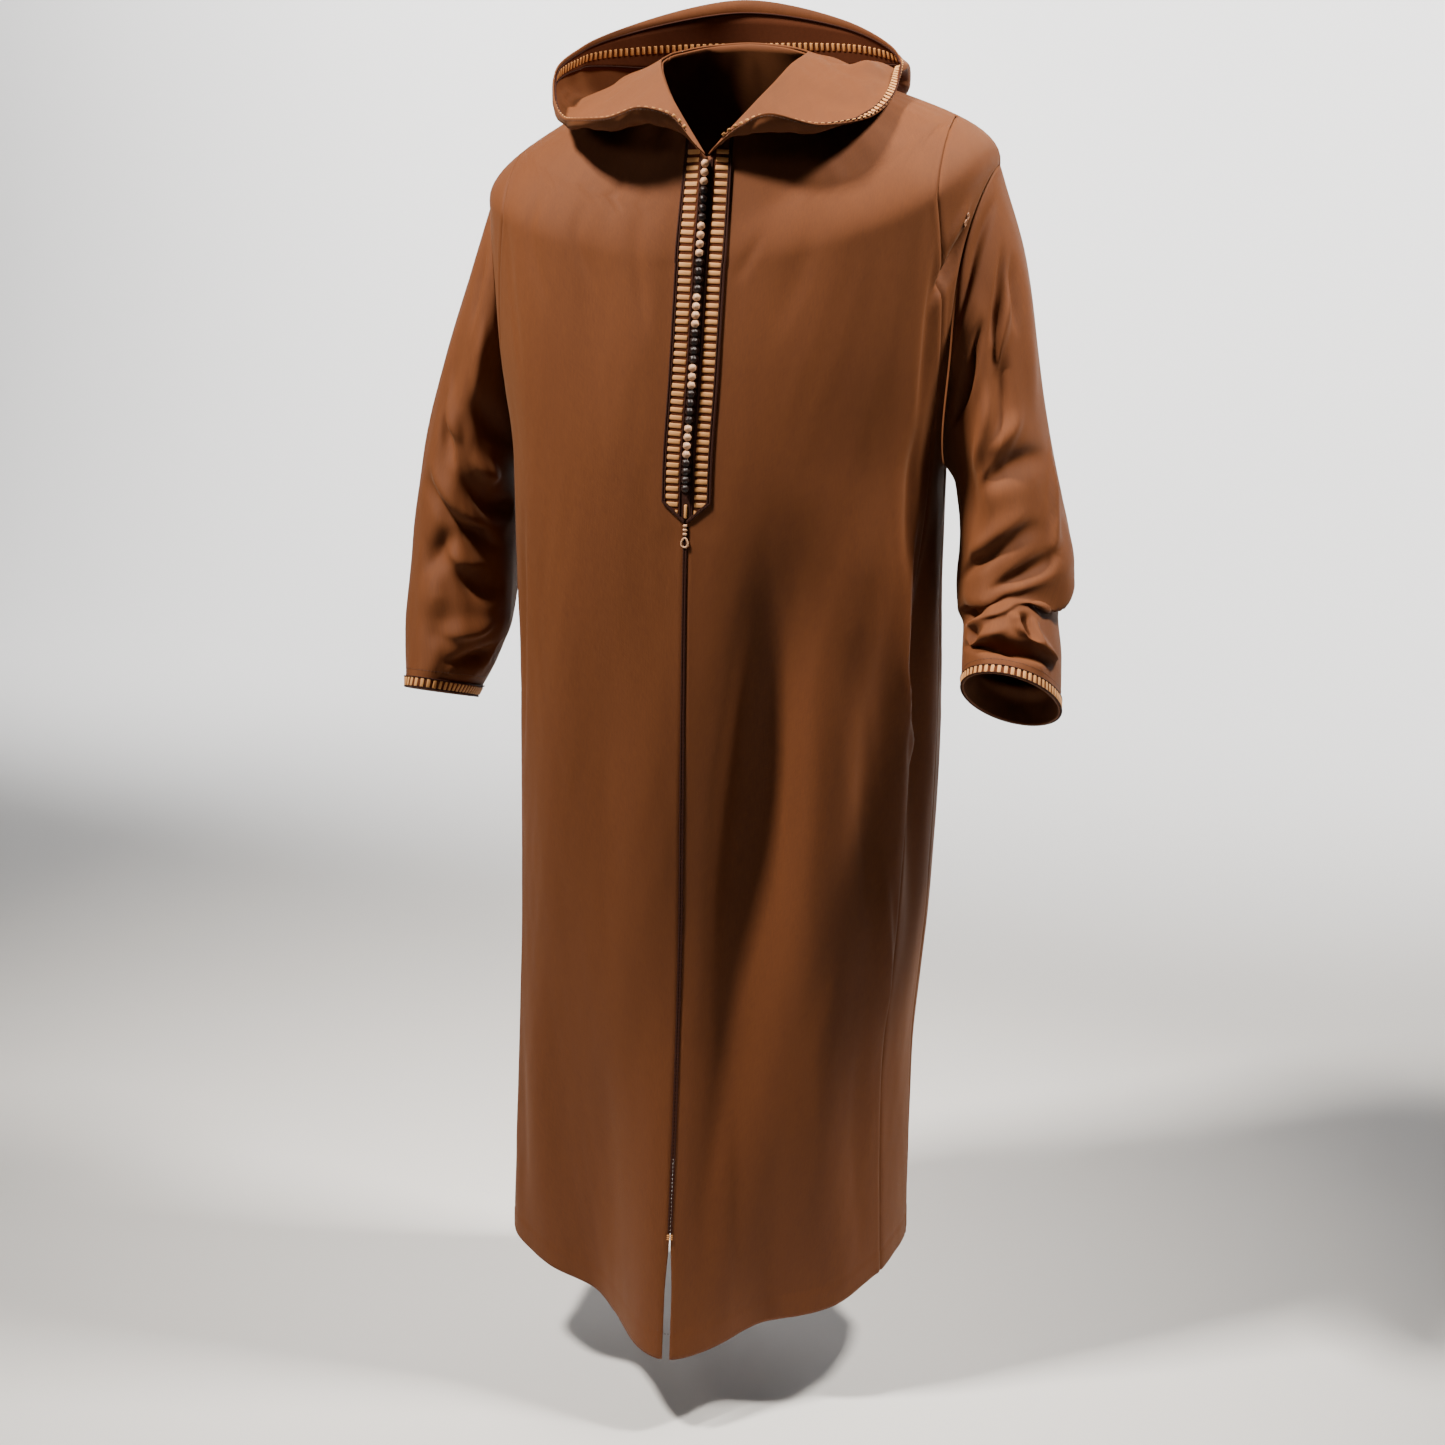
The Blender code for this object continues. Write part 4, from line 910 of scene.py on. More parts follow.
def join_pieces(name, pieces, slot, *nodes):
    """One object from several of the same material, put on the robe."""
    shape = bmesh.new()
    for piece in pieces:
        shape.from_mesh(piece.data)
    material = pieces[0].data.materials[0]
    for piece in pieces:
        mesh = piece.data
        bpy.data.objects.remove(piece, do_unlink=True)
        bpy.data.meshes.remove(mesh)
    assign(finish_mesh(name, shape, bpy.data.meshes.new(name), material), slot, *nodes)


# ---------------------------------------------------------------- materials

def new_material(name, roughness, sheen=0.0, sheen_tint=(1, 1, 1), specular=0.5):
    """Material with a principled shader, and its tree and shader."""
    if name in bpy.data.materials:
        bpy.data.materials.remove(bpy.data.materials[name])
    material = bpy.data.materials.new(name)
    material.use_nodes = True
    tree = material.node_tree
    shader = tree.nodes["Principled BSDF"]
    shader.inputs["Roughness"].default_value = roughness
    shader.inputs["Sheen Weight"].default_value = sheen
    shader.inputs["Sheen Roughness"].default_value = 0.45
    shader.inputs["Sheen Tint"].default_value = (*sheen_tint, 1.0)
    shader.inputs["Specular IOR Level"].default_value = specular
    return material, tree, shader


def add_node(tree, kind, **values):
    """Node with its settings and unlinked inputs given by name."""
    node = tree.nodes.new(kind)
    for key, value in values.items():
        if key in node.inputs:
            node.inputs[key].default_value = value
        else:
            setattr(node, key, value)
    return node


def noise(tree, source, scale, detail=2.0, rough=0.5):
    """Noise over stretched coordinates: scale is how many swells a metre holds on each axis."""
    mapping = add_node(tree, "ShaderNodeMapping", Scale=scale)
    texture = add_node(tree, "ShaderNodeTexNoise", Scale=1.0, Detail=detail, Roughness=rough)
    tree.links.new(source, mapping.inputs["Vector"])
    tree.links.new(mapping.outputs["Vector"], texture.inputs["Vector"])
    return texture.outputs["Fac"]


def threads(tree, source, direction, period):
    """Parallel thread lines at a period in metres."""
    texture = add_node(tree, "ShaderNodeTexWave", wave_type="BANDS", bands_direction=direction,
                       Scale=2 * math.pi / (20 * period), Distortion=0.6, Detail=1.0)
    tree.links.new(source, texture.inputs["Vector"])
    return texture.outputs["Fac"]


def arithmetic(tree, operation, *parts):
    """Result of a math node over sockets and numbers."""
    node = add_node(tree, "ShaderNodeMath", operation=operation)
    for socket, part in zip(node.inputs, parts):
        if isinstance(part, (int, float)):
            socket.default_value = part
        else:
            tree.links.new(part, socket)
    return node.outputs[0]


def mix(tree, *parts):
    """Sum of sockets, each given with its share."""
    shares = [arithmetic(tree, "MULTIPLY", socket, share) for socket, share in parts]
    total = shares[0]
    for share in shares[1:]:
        total = arithmetic(tree, "ADD", total, share)
    return total


def blend_colours(tree, shader, factor, low, high):
    """Colours a shader between two colours, by a factor from 0 to 1."""
    ramp = tree.nodes.new("ShaderNodeValToRGB")
    for element, position, colour in zip(ramp.color_ramp.elements, (0.25, 0.75), (low, high)):
        element.position = position
        element.color = (*np.clip(colour, 0, 1), 1.0)
    tree.links.new(factor, ramp.inputs["Fac"])
    tree.links.new(ramp.outputs["Color"], shader.inputs["Base Color"])


def add_bump(tree, shader, height, strength, distance):
    """Bump from a height of 0 to 1."""
    bump = add_node(tree, "ShaderNodeBump", Strength=strength, Distance=distance)
    tree.links.new(height, bump.inputs["Height"])
    tree.links.new(bump.outputs["Normal"], shader.inputs["Normal"])


def robe_cloth_material():
    """Fine worsted cloth: heathered threads both ways, soft streaks of shade, low sheen."""
    cloth = bpy.context.scene.robe_cloth
    base = np.array(cloth.colour)
    material, tree, shader = new_material("robe_cloth", cloth.roughness, cloth.sheen, (1.0, 0.62, 0.36),
                                          0.20)
    uv = add_node(tree, "ShaderNodeUVMap", uv_map="UVMap").outputs["UV"]
    warp = noise(tree, uv, (1100, 70, 1), 2.0, 0.6)
    weft = noise(tree, uv, (80, 1000, 1), 2.0, 0.6)
    streak = noise(tree, uv, (42, 4, 1), 3.0, 0.55)
    cloud = noise(tree, uv, (14, 9, 1), 2.0, 0.5)
    thread = mix(tree, (warp, 0.42), (weft, 0.34))
    mixed = arithmetic(tree, "ADD", thread, mix(tree, (streak, 0.16), (cloud, 0.08)))
    blend_colours(tree, shader, mixed, base * (0.74, 0.70, 0.72), base * (1.28, 1.32, 1.24))
    period = 0.0011
    weave = arithmetic(tree, "MULTIPLY", threads(tree, uv, "X", period), threads(tree, uv, "Y", period))
    add_bump(tree, shader, mix(tree, (weave, 0.5), (thread, 0.7)), 0.35, 0.0004)
    rough = arithmetic(tree, "ADD", mix(tree, (mixed, 0.16)), cloth.roughness - 0.08)
    tree.links.new(rough, shader.inputs["Roughness"])
    return material


def yarn_material(name, colour, roughness, sheen, period, direction, contrast, specular):
    """Wound or laid yarn with fine threads and a little unevenness."""
    base = np.array(colour)
    tint = tuple(np.clip(base * 2 + 0.2, 0, 1))
    material, tree, shader = new_material(name, roughness, sheen, tint, specular)
    uv = add_node(tree, "ShaderNodeUVMap", uv_map="UVMap").outputs["UV"]
    lines = threads(tree, uv, direction, period)
    patch = noise(tree, uv, (260, 260, 1), 2.0, 0.6)
    mixed = mix(tree, (lines, 0.6), (patch, 0.4))
    blend_colours(tree, shader, mixed, base * (1 - contrast), base * (1 + contrast))
    add_bump(tree, shader, mixed, 0.5, 0.0003)
    return material


def use_material(name):
    """The material of that name, made when it is first used."""
    if name in bpy.data.materials:
        return bpy.data.materials[name]
    if name == "robe_cloth":
        return robe_cloth_material()
    scene = bpy.context.scene
    trim, knots = scene.robe_trim, scene.robe_knots
    # Colour, roughness, sheen, thread period in metres, thread direction, contrast, specular.
    yarns = {
        "trim_ground": (trim.ground_colour, 0.85, 0.0, 0.0008, "X", 0.3, 0.12),
        "gold_thread": (trim.bar_colour, 0.55, 0.0, 0.0005, "Y", 0.16, 0.3),
        "dark_cord": (trim.cord_colour, 0.75, 0.0, 0.0006, "Y", 0.3, 0.15),
        "light_knot": (knots.light_colour, 0.42, 0.0, 0.0009, "Y", 0.25, 0.4),
        "dark_knot": (knots.dark_colour, 0.40, 0.0, 0.0009, "Y", 0.3, 0.35),
        "mark_thread": ((0.30, 0.13, 0.06), 0.45, 0.0, 0.0006, "Y", 0.2, 0.5),
        "sewing_thread": (np.array(scene.robe_cloth.colour) * 0.62, 0.6, 0.1, 0.0006, "Y", 0.2, 0.5),
    }
    return yarn_material(name, *yarns[name])


# ---------------------------------------------------------------- sizes and colours

class RobeCloth(bpy.types.PropertyGroup):
    """Cloth of the body, sleeves and hood."""
    thickness: bpy.props.FloatProperty(
        name="Cloth thickness", description="Thickness of the cloth", default=0.0016, min=0.0008,
        max=0.003, subtype="DISTANCE", unit="LENGTH")
    crease_strength: bpy.props.FloatProperty(
        name="Crease strength", description="Share of the creases' full height", default=1.0,
        min=0.0, max=1.5, subtype="FACTOR")
    colour: bpy.props.FloatVectorProperty(
        name="Cloth colour", description="Colour of the robe cloth",
        default=(0.112, 0.0340, 0.0094), min=0.0, max=1.0, subtype="COLOR", size=3)
    roughness: bpy.props.FloatProperty(
        name="Cloth roughness", description="Roughness of the cloth", default=0.74, min=0.0,
        max=1.0, subtype="FACTOR")
    sheen: bpy.props.FloatProperty(
        name="Cloth sheen", description="Strength of the soft sheen", default=0.06, min=0.0,
        max=1.0, subtype="FACTOR")


class RobeTrim(bpy.types.PropertyGroup):
    """Striped trims, their bars and border cords."""
    bar_pitch: bpy.props.FloatProperty(
        name="Bar pitch", description="Distance from one gold bar to the next", default=0.0085,
        min=0.004, max=0.02, subtype="DISTANCE", unit="LENGTH")
    bar_width: bpy.props.FloatProperty(
        name="Bar width", description="Width of one gold bar", default=0.0049, min=0.002, max=0.01,
        subtype="DISTANCE", unit="LENGTH")
    edge_bar_pitch: bpy.props.FloatProperty(
        name="Edge bar pitch", description="Distance from one bar to the next on cuffs and hood",
        default=0.0073, min=0.004, max=0.02, subtype="DISTANCE", unit="LENGTH")
    edge_bar_width: bpy.props.FloatProperty(
        name="Edge bar width", description="Width of one bar on cuffs and hood", default=0.0041,
        min=0.002, max=0.01, subtype="DISTANCE", unit="LENGTH")
    bar_rise: bpy.props.FloatProperty(
        name="Bar rise", description="Height of the sewn bars over their ground", default=0.0009,
        min=0.0002, max=0.002, subtype="DISTANCE", unit="LENGTH")
    cord_radius: bpy.props.FloatProperty(
        name="Cord radius", description="Radius of the border cords", default=0.0013, min=0.0005,
        max=0.003, subtype="DISTANCE", unit="LENGTH")
    bar_colour: bpy.props.FloatVectorProperty(
        name="Bar colour", description="Colour of the gold bars", default=(0.56, 0.26, 0.085),
        min=0.0, max=1.0, subtype="COLOR", size=3)
    ground_colour: bpy.props.FloatVectorProperty(
        name="Ground colour", description="Colour between the bars", default=(0.085, 0.024, 0.009),
        min=0.0, max=1.0, subtype="COLOR", size=3)
    cord_colour: bpy.props.FloatVectorProperty(
        name="Cord colour", description="Colour of the border cords",
        default=(0.032, 0.0085, 0.0042), min=0.0, max=1.0, subtype="COLOR", size=3)


class RobeKnots(bpy.types.PropertyGroup):
    """Knot buttons of the placket."""
    light_colour: bpy.props.FloatVectorProperty(
        name="Light knots", description="Colour of the light knots", default=(0.50, 0.28, 0.155),
        min=0.0, max=1.0, subtype="COLOR", size=3)
    dark_colour: bpy.props.FloatVectorProperty(
        name="Dark knots", description="Colour of the dark knots", default=(0.012, 0.0045, 0.0035),
        min=0.0, max=1.0, subtype="COLOR", size=3)


class RobeStage(bpy.types.PropertyGroup):
    """Floor, lights and camera."""
    floor_colour: bpy.props.FloatVectorProperty(
        name="Floor colour", description="Colour of the floor", default=(0.80, 0.795, 0.79),
        min=0.0, max=1.0, subtype="COLOR", size=3)
    surround: bpy.props.FloatProperty(
        name="Surround", description="Brightness of the light from all round", default=0.015,
        min=0.0, max=5.0)
    key_power: bpy.props.FloatProperty(
        name="Key light", description="Power of the main light", default=46.0, min=0.0, max=2000.0,
        unit="POWER")
    rim_power: bpy.props.FloatProperty(
        name="Rim light", description="Power of the light from behind the shoulder", default=13.0,
        min=0.0, max=2000.0, unit="POWER")
    side_power: bpy.props.FloatProperty(
        name="Side light", description="Power of the low light from the left", default=3.0, min=0.0,
        max=2000.0, unit="POWER")
    backdrop_power: bpy.props.FloatProperty(
        name="Backdrop lights", description="Power of each light on the backdrop", default=260.0,
        min=0.0, max=5000.0, unit="POWER")


# ---------------------------------------------------------------- pieces

def lapped_side(rows, side):
    """Outer edge of a side strip, lapped under the back panel below the armhole."""
    rate = body_rate(np.full(rows.shape, side * math.pi / 2), rows)
    lap = np.where(rows > ARMPIT, (SEAM_GAP + SEAM_LAP) / rate, 0.0)
    return side_angle(rows, side, True) + side * lap


def body_piece(name, node, start, end, columns, rows):
    """One panel of the body between two seamed edges, given by their angle at each row."""
    edge = np.array([0.0, 0.005, 0.012, 0.021])
    part = np.concatenate([edge, np.linspace(0.034, 0.966, columns - 7), 1 - edge[::-1]])
    angles = start[:, None] * (1 - part) + end[:, None] * part
    drops = np.repeat(rows[:, None], columns + 1, axis=1)
    plain, normal = body_point(angles, drops), body_normal(angles, drops)
    across = walked(plain)[..., 0]
    dip = seam_dip(across) + seam_dip(across[:, -1:] - across)
    points = body_face(angles, drops) + normal * dip[..., None]
    cloth_piece(name, node, points, normal, plain)


class ROBE_OT_fronts(bpy.types.Operator):
    """Builds the two front panels"""
    bl_idname = "robe.fronts"
    bl_label = "Front panels"

    def execute(self, context):
        rows = np.linspace(0, HEM, FRONT_GRID[1])
        for name, side in SIDES:
            start = seam_angle(rows, side * slit_half(rows))
            seam = np.abs(strip_angle(rows, side, -SEAM_GAP / 2))
            end = side * np.minimum(seam, np.abs(side_angle(rows, side, True)))
            body_piece("front_panel_" + name, "front_" + name, start, end, FRONT_GRID[0], rows)
        return {"FINISHED"}


class ROBE_OT_strips(bpy.types.Operator):
    """Builds the side strips between the front panels and the side seams"""
    bl_idname = "robe.strips"
    bl_label = "Side strips"

    def execute(self, context):
        for name, side in SIDES:
            rows = np.linspace(strip_top(side) + STRIP_START, HEM, STRIP_GRID[1])
            start = strip_angle(rows, side, -SEAM_GAP / 2 - SEAM_LAP)
            body_piece("side_panel_" + name, "side_strip_" + name, start, lapped_side(rows, side),
                       STRIP_GRID[0], rows)
        return {"FINISHED"}


class ROBE_OT_back(bpy.types.Operator):
    """Builds the back panel"""
    bl_idname = "robe.back"
    bl_label = "Back panel"

    def execute(self, context):
        rows = np.linspace(0, HEM, BACK_GRID[1])
        end = side_angle(rows, -1, False) + 2 * math.pi
        body_piece("back_panel", "back", side_angle(rows, 1, False), end, BACK_GRID[0], rows)
        return {"FINISHED"}


class ROBE_OT_sleeves(bpy.types.Operator):
    """Builds both sleeves"""
    bl_idname = "robe.sleeves"
    bl_label = "Sleeves"

    def execute(self, context):
        turn, along = np.meshgrid(np.linspace(0, 2 * math.pi, SLEEVE_GRID[0]),
                                  np.linspace(0, 1, SLEEVE_GRID[1]))
        for name, side in SIDES:
            plain, points = sleeve_point(side, turn, along), sleeve_face(side, turn, along)
            outward = unit(points - plain[:, :-1].mean(axis=1, keepdims=True))
            cloth_piece("sleeve_cloth_" + name, "sleeve_" + name, points, outward, plain,
                        wrap=True)
        return {"FINISHED"}


class ROBE_OT_hood(bpy.types.Operator):
    """Builds the lowered hood"""
    bl_idname = "robe.hood"
    bl_label = "Hood"

    def execute(self, context):
        around, up = np.meshgrid(np.linspace(0, 1, HOOD_GRID[0]), np.linspace(0, 1, HOOD_GRID[1]))
        cloth_piece("hood_cloth", "hood", hood_face(around, up), hood_normal(around, up),
                    hood_point(around, up))
        return {"FINISHED"}


def ribbon(name, node, points, outward, wrap=False):
    """Ground of a trim: a thin woven ribbon."""
    cloth_piece(name, node, points, outward, points, wrap, RIBBON_THICKNESS,
                "trim_ground", "striped trim")


def dress_trim(name, face, outward, path, measured_at, bars_at, length, cords_at, cord_lift, closed):
    """Gold bars along a trim and twisted cords at its edges; its levels are shares up the cloth."""
    trim = bpy.context.scene.robe_trim
    line = face(path, np.full_like(path, measured_at))
    second = between(evenly(path, line, trim.edge_bar_pitch))
    block = bevelled_block(length, trim.edge_bar_width, trim.bar_rise, trim.bar_rise * 0.8)
    places = block_places(lambda up, around: face(around, up), lambda up, around: outward(around, up),
                          np.full_like(second, bars_at), second, 0.0)
    assign(repeat_block(name + "_bars", block, places, "gold_thread"), "striped trim")
    fine = evenly(path, line, CORD_STEP)
    cords = []
    for number, at in enumerate(cords_at):
        normal = outward(fine, np.full_like(fine, at))
        points = face(fine, np.full_like(fine, at)) + normal * cord_lift
        cords.append(twisted_cord(name + "_cord_%d" % number, points, normal, trim.cord_radius * 0.75,
                                  0.0034, "dark_cord", closed))
    join_pieces(name + "_cords", cords, "dark braid")


class ROBE_OT_edge_trims(bpy.types.Operator):
    """Builds the striped trims of the hood rim and of both cuffs"""
    bl_idname = "robe.edge_trims"
    bl_label = "Edge trims"

    def execute(self, context):
        inside = context.scene.robe_cloth.thickness + TRIM_LIFT + 0.0006

        def inward(around, up):
            return -hood_normal(around, up)

        def inner(around, up):
            return hood_face(around, up) + inward(around, up) * inside

        ends = 1 / 44, 43 / 44
        around, up = np.meshgrid(np.linspace(*ends, 420), np.linspace(0.885, 0.985, 7))
        ribbon("hood_ribbon", "hood_trim", inner(around, up), inward(around, up))
        dress_trim("hood_trim", inner, inward, np.linspace(*ends, 1600), measured_at=0.935, bars_at=0.937,
                   length=0.0088, cords_at=(0.892, 0.984), cord_lift=0.0006, closed=False)
        for name, side in SIDES:
            self.cuff(name, side)
        return {"FINISHED"}

    def cuff(self, name, side):
        """Trim round one cuff."""
        outward = partial(sleeve_out, side, partial(sleeve_point, side))

        def face(turn, along):
            return sleeve_face(side, turn, along) + outward(turn, along) * RIBBON_LIFT

        turn, along = np.meshgrid(np.linspace(0, 2 * math.pi, 241), np.linspace(*CUFF_TRIM, 6))
        ribbon("cuff_ribbon_" + name, "cuff_trim_" + name, face(turn, along), outward(turn, along), True)
        dress_trim("cuff_trim_" + name + "_edge", face, outward, np.linspace(0, 2 * math.pi, 900),
                   measured_at=0.986, bars_at=0.986, length=0.0098, cords_at=CUFF_TRIM, cord_lift=0.0003,
                   closed=True)


def front_cord(name, metres, drops, lift, radius, pitch, material="dark_cord", closed=False):
    """Twisted cord over the creased front, on a path beside and along the centre seam."""
    normal = front_normal(metres, drops)
    path = front_face(metres, drops) + normal * lift
    return twisted_cord(name, path, normal, radius, pitch, material, closed)


class ROBE_OT_placket(bpy.types.Operator):
    """Builds the striped bands of the placket, their cords and the dark strip between them"""
    bl_idname = "robe.placket"
    bl_label = "Placket"

    def execute(self, context):
        trim = context.scene.robe_trim
        cords = []
        for name, side in SIDES:
            part, drops = np.meshgrid(np.linspace(0, 1, 13), np.linspace(BAND_TOP, PLACKET_END, 300))
            drops = drops - BAND_SLANT * part * ease((drops - BAND_TOP) / (PLACKET_END - BAND_TOP))
            metres = side * (BAND_INNER + (BAND_OUTER - BAND_INNER) * part)
            normal = front_normal(metres, drops)
            points = front_face(metres, drops) + normal * RIBBON_LIFT
            ribbon("band_ribbon_" + name, "band_" + name, points, normal)
            self.bars(name, side, trim)
            cords += self.borders(side, trim)
        join_pieces("placket_cords", cords, "dark braid")
        metres, drops = np.meshgrid(np.linspace(-STRIP_HALF, STRIP_HALF, 9),
                                    np.linspace(BAND_TOP, PLACKET_END, 240))
        plain, normal = front_face(metres, drops), front_normal(metres, drops)
        cloth_piece("button_strip_cloth", "button_strip", plain + normal * RIBBON_LIFT, normal, plain,
                    False, RIBBON_THICKNESS, "dark_cord", "dark braid")
        return {"FINISHED"}

    def bars(self, name, side, trim):
        """Gold bars across one band, shorter where its end slants."""
        length, middle = BAR_END - BAR_START, (BAR_START + BAR_END) / 2
        dense = np.linspace(BAND_TOP + 0.003, PLACKET_END - 0.003, 800)
        line = front_face(np.full_like(dense, side * middle), dense)
        second = between(evenly(dense, line, trim.bar_pitch))
        slant = np.clip((PLACKET_END - second) / BAND_SLANT, 0, 1)
        end = np.minimum(BAR_END, BAND_INNER + (BAND_OUTER - BAND_INNER) * slant - 0.0036)
        keep = end - BAR_START > 0.002
        second, end = second[keep], end[keep]
        block = bevelled_block(length, trim.bar_width, trim.bar_rise, trim.bar_rise * 0.8)
        places = block_places(front_face, front_normal, side * (BAR_START + end) / 2, second, RIBBON_LIFT,
                              (end - BAR_START) / length)
        assign(repeat_block("band_bars_" + name, block, places, "gold_thread"), "striped trim")

    def borders(self, side, trim):
        """Cords along both long edges of a band and its slanted end."""
        made = []
        down = np.linspace(BAND_TOP, PLACKET_END - BAND_SLANT - 0.001, 330)
        slant = np.linspace(0, 1, 26)[1:]
        for number, inset in enumerate((0.0, -0.0026)):
            outer = BAND_OUTER + inset - 0.0006
            low = PLACKET_END + 0.004 + inset * 0.6
            metres = np.concatenate([np.full_like(down, outer), outer + (0.0012 - outer) * slant])
            drops = np.concatenate([down, down[-1] + (low - down[-1]) * slant])
            made.append(front_cord("border_%d" % number, side * metres, drops,
                                   RIBBON_LIFT * 0.8 + trim.cord_radius * 0.5, trim.cord_radius, 0.0042))
        down = np.linspace(BAND_TOP, PLACKET_END - 0.002, 340)
        made.append(front_cord("border_in", np.full_like(down, side * (BAND_INNER + 0.0002)), down,
                               RIBBON_LIFT + 0.0004, trim.cord_radius * 0.85, 0.0038))
        return made


def knot_mesh(radius):
    """Points and faces of one knot: a ball of crossing cords."""
    shape = bmesh.new()
    bmesh.ops.create_uvsphere(shape, u_segments=18, v_segments=12, radius=1.0)
    points, faces = points_and_faces(shape)
    polar = np.arccos(np.clip(points[:, 2], -1, 1))
    turn = np.arctan2(points[:, 1], points[:, 0])
    weave = np.cos(3 * turn + 2.4 * polar) * np.cos(3 * turn - 2.4 * polar)
    swell = 1 + 0.11 * weave * np.sin(polar)
    return points * (radius * swell)[:, None], faces


class ROBE_OT_knots(bpy.types.Operator):
    """Builds the knot buttons and their loops"""
    bl_idname = "robe.knots"
    bl_label = "Knots"

    def execute(self, context):
        lift = TRIM_LIFT + TRIM_WALL + 0.0005 + BUTTON_RADIUS
        block = knot_mesh(BUTTON_RADIUS * 1.04)
        random = np.random.default_rng(5)
        kinds = [group % 2 for group, count in enumerate(BUTTON_GROUPS) for _ in range(count)]
        for kind, name in enumerate(("light", "dark")):
            numbers = [number for number in range(BUTTON_COUNT) if kinds[number] == kind]
            drop = BUTTON_FIRST + BUTTON_PITCH * np.array(numbers)
            angle = seam_angle(drop, 0.0)
            normal = body_normal(angle, drop)
            centre = body_point(angle, drop) + normal * lift
            spin = random.uniform(0, 6.28, len(numbers))[:, None]
            side = unit(np.cross(np.array([0.0, 0.0, 1.0]), normal))
            rise = np.cross(normal, side)
            places = (centre, side * np.cos(spin) + rise * np.sin(spin),
                      rise * np.cos(spin) - side * np.sin(spin), normal)
            assign(repeat_block("knots_" + name, block, places, name + "_knot"), name + " knots",
                   *["button_%02d" % (number + 1) for number in numbers])
        self.loops()
        return {"FINISHED"}

    def loops(self):
        """Cord loops that reach from one edge of the strip round each knot."""
        turn = np.linspace(-2.5, 2.5, 20)
        metres = 0.0004 + np.cos(turn) * 0.0040
        metres[0] = metres[-1] = -0.0056
        middle = BUTTON_FIRST + BUTTON_PITCH * np.arange(BUTTON_COUNT)
        drops = middle[:, None] + np.sin(turn) * 0.0036
        metres = np.broadcast_to(metres, drops.shape)
        normals = front_normal(metres, drops)
        paths = front_face(metres, drops) + normals * (TRIM_LIFT + 0.0022)
        made = [twisted_cord("loop", path, normal, 0.0008, 0.0024, "dark_cord", sides=6)
                for path, normal in zip(paths, normals)]
        join_pieces("knot_loops", made, "dark braid")


class ROBE_OT_centre_braid(bpy.types.Operator):
    """Builds the braid on the centre seam, the end ornament of the placket and the bar above the slit"""
    bl_idname = "robe.centre_braid"
    bl_label = "Centre braid"

    def execute(self, context):
        drops = np.linspace(PLACKET_END + 0.010, SLIT_TOP - 0.010, 800)
        made = [front_cord("braid", np.full_like(drops, side * 0.0012), drops, 0.0011, 0.0014, 0.0046)
                for _, side in SIDES]
        join_pieces("centre_braid_cords", made, "dark braid", "centre_braid")
        self.blocks("slit_bar", (0.0066, 0.0014, 0.0010, 0.0005), 0.0012,
                    SLIT_TOP - 0.005 + np.array([-0.0022, 0.0, 0.0022]), "gold_thread", "slit_bartack")
        self.blocks("placket_end_bar", (0.0036, 0.0150, 0.0016, 0.0011), 0.0010,
                    PLACKET_END + np.array([-0.0085]), "gold_thread")
        self.blocks("placket_end_beads", (0.0050, 0.0030, 0.0030, 0.0012), 0.0004,
                    PLACKET_END + np.array([0.0070, 0.0115, 0.0160]), "light_knot")
        turn = np.linspace(0, 2 * math.pi, 49)
        metres = np.sin(turn) * 0.0036 * (1 - 0.25 * np.cos(turn))
        drops = PLACKET_END + 0.0252 - np.cos(turn) * 0.0050
        ring = front_cord("placket_end_ring", metres, drops, 0.0024, 0.0012, 0.0030, "light_knot", True)
        assign(ring, "light knots")
        return {"FINISHED"}

    def blocks(self, name, size, lift, drops, material, *nodes):
        """Small bars or beads on the centre line."""
        places = block_places(front_face, front_normal, np.zeros_like(drops), drops, TRIM_LIFT + lift)
        assign(repeat_block(name, bevelled_block(*size), places, material), "light knots", *nodes)


def stitch_line(surface, normal, path_1, path_2, pitch, lift=0.0):
    """Centres, directions and normals of stitches at even pitch along a path on a surface."""
    paths = np.broadcast_arrays(path_1, path_2)
    walk = walked_along(surface(*paths))
    at = np.arange(pitch / 2, walk[-1], pitch)
    here = [np.interp(at, walk, path) for path in paths]
    ahead = [np.interp(at + 0.0005, walk, path) for path in paths]
    centre, facing = surface(*here), normal(*here)
    return centre + facing * lift, unit(surface(*ahead) - centre), facing


def sew(name, *lines):
    """One mesh of all stitches of several lines."""
    centre, along, facing = (np.concatenate(parts) for parts in zip(*lines))
    block = bevelled_block(0.0026, 0.0005, 0.00035, 0.00015, 1)
    places = centre, along, unit(np.cross(facing, along)), facing
    assign(repeat_block(name, block, places, "sewing_thread"), "robe cloth")


